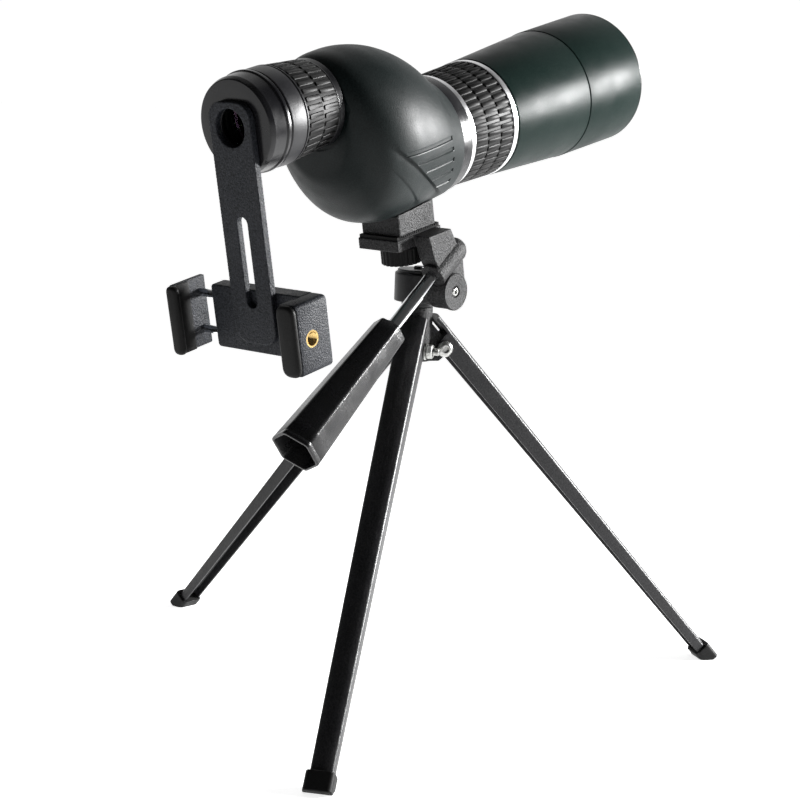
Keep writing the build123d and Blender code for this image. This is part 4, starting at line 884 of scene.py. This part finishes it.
# ---- Studio --------------------------------------------------------------------------------
CAMERA_PLACE = Vector((0.6378, -0.7909, 0.3288))
CAMERA_AIM = Vector((-0.0055, -0.0047, 0.1490))
CAMERA_ROLL = radians(2.16)
CAMERA_LENS, CAMERA_SENSOR = 89.13, 36.0


def make_camera():
    data = bpy.data.cameras.new("camera")
    data.lens, data.sensor_width = CAMERA_LENS, CAMERA_SENSOR
    made = bpy.data.objects.new("camera", data)
    bpy.context.scene.collection.objects.link(made)
    turn = (CAMERA_AIM - CAMERA_PLACE).to_track_quat("-Z", "Y").to_matrix()
    turn = turn @ Matrix.Rotation(CAMERA_ROLL, 3, "Z")
    made.matrix_world = Matrix.Translation(CAMERA_PLACE) @ turn.to_4x4()
    bpy.context.scene.camera = made


def soft_light(name, azimuth, elevation, distance, size, power, spread=180):
    """A softbox that faces the scope, its azimuth turning from +X towards +Y."""
    data = bpy.data.lights.new(name, "AREA")
    data.shape, data.size, data.size_y = "RECTANGLE", size[0], size[1]
    data.energy, data.spread = power, radians(spread)
    made = bpy.data.objects.new(name, data)
    bpy.context.scene.collection.objects.link(made)
    aim = Vector((0, 0, 0.2))
    away = Vector((cos(radians(azimuth)) * cos(radians(elevation)),
                   sin(radians(azimuth)) * cos(radians(elevation)), sin(radians(elevation))))
    place = aim + away * distance
    made.matrix_world = (Matrix.Translation(place)
                         @ (-away).to_track_quat("-Z", "Y").to_matrix().to_4x4())


BACKGROUND_AZIMUTH = 129.0               # where the camera looks past the scope
BACKGROUND_LIGHT, ROOM_LIGHT, FLOOR_GLOW = 1.02, 0.06, 0.82
WALL_EDGE, WALL_MIDDLE = 0.35, 0.92      # cosines from the wall's azimuth


def make_world():
    """A bright wall behind the scope in a dimmer room."""
    world = bpy.data.worlds.new("studio")
    world.use_nodes = True
    tree = world.node_tree
    where = tree.nodes.new("ShaderNodeTexCoord")
    facing = tree.nodes.new("ShaderNodeVectorMath")
    facing.operation = "DOT_PRODUCT"
    facing.inputs[1].default_value = (cos(radians(BACKGROUND_AZIMUTH)),
                                      sin(radians(BACKGROUND_AZIMUTH)), 0.0)
    tree.links.new(where.outputs["Generated"], facing.inputs[0])
    light = ranged(tree, facing.outputs["Value"], WALL_EDGE, WALL_MIDDLE, ROOM_LIGHT,
                   BACKGROUND_LIGHT)
    background = tree.nodes["Background"]
    background.inputs["Color"].default_value = (1, 1, 1, 1)
    tree.links.new(light, background.inputs["Strength"])
    bpy.context.scene.world = world


def make_studio():
    bm = bmesh.new()
    bmesh.ops.create_circle(bm, cap_ends=True, radius=9000.0, segments=96)
    floor = new_object("studio_floor", bm, ROW)
    made = grained("pale_floor", (0.86, 0.86, 0.86), (0.88, 0.88, 0.88), 0.85, 40.0, 0.02,
                   Specular_IOR_Level=0.2, Emission_Color=(1, 1, 1, 1),
                   Emission_Strength=FLOOR_GLOW)
    floor.data.materials.append(made)
    make_world()
    soft_light("key_right", 50, 12, 1.2, (0.30, 0.34), 12, 80)
    soft_light("top_fill", 140, 75, 1.4, (0.9, 0.9), 0.9)
    bpy.context.scene.view_settings.view_transform = "Standard"


make_camera()
make_studio()
make_housing()
make_barrel()
make_eyepiece()
make_clamp()
make_tripod()
make_handle()
dress_nodes()
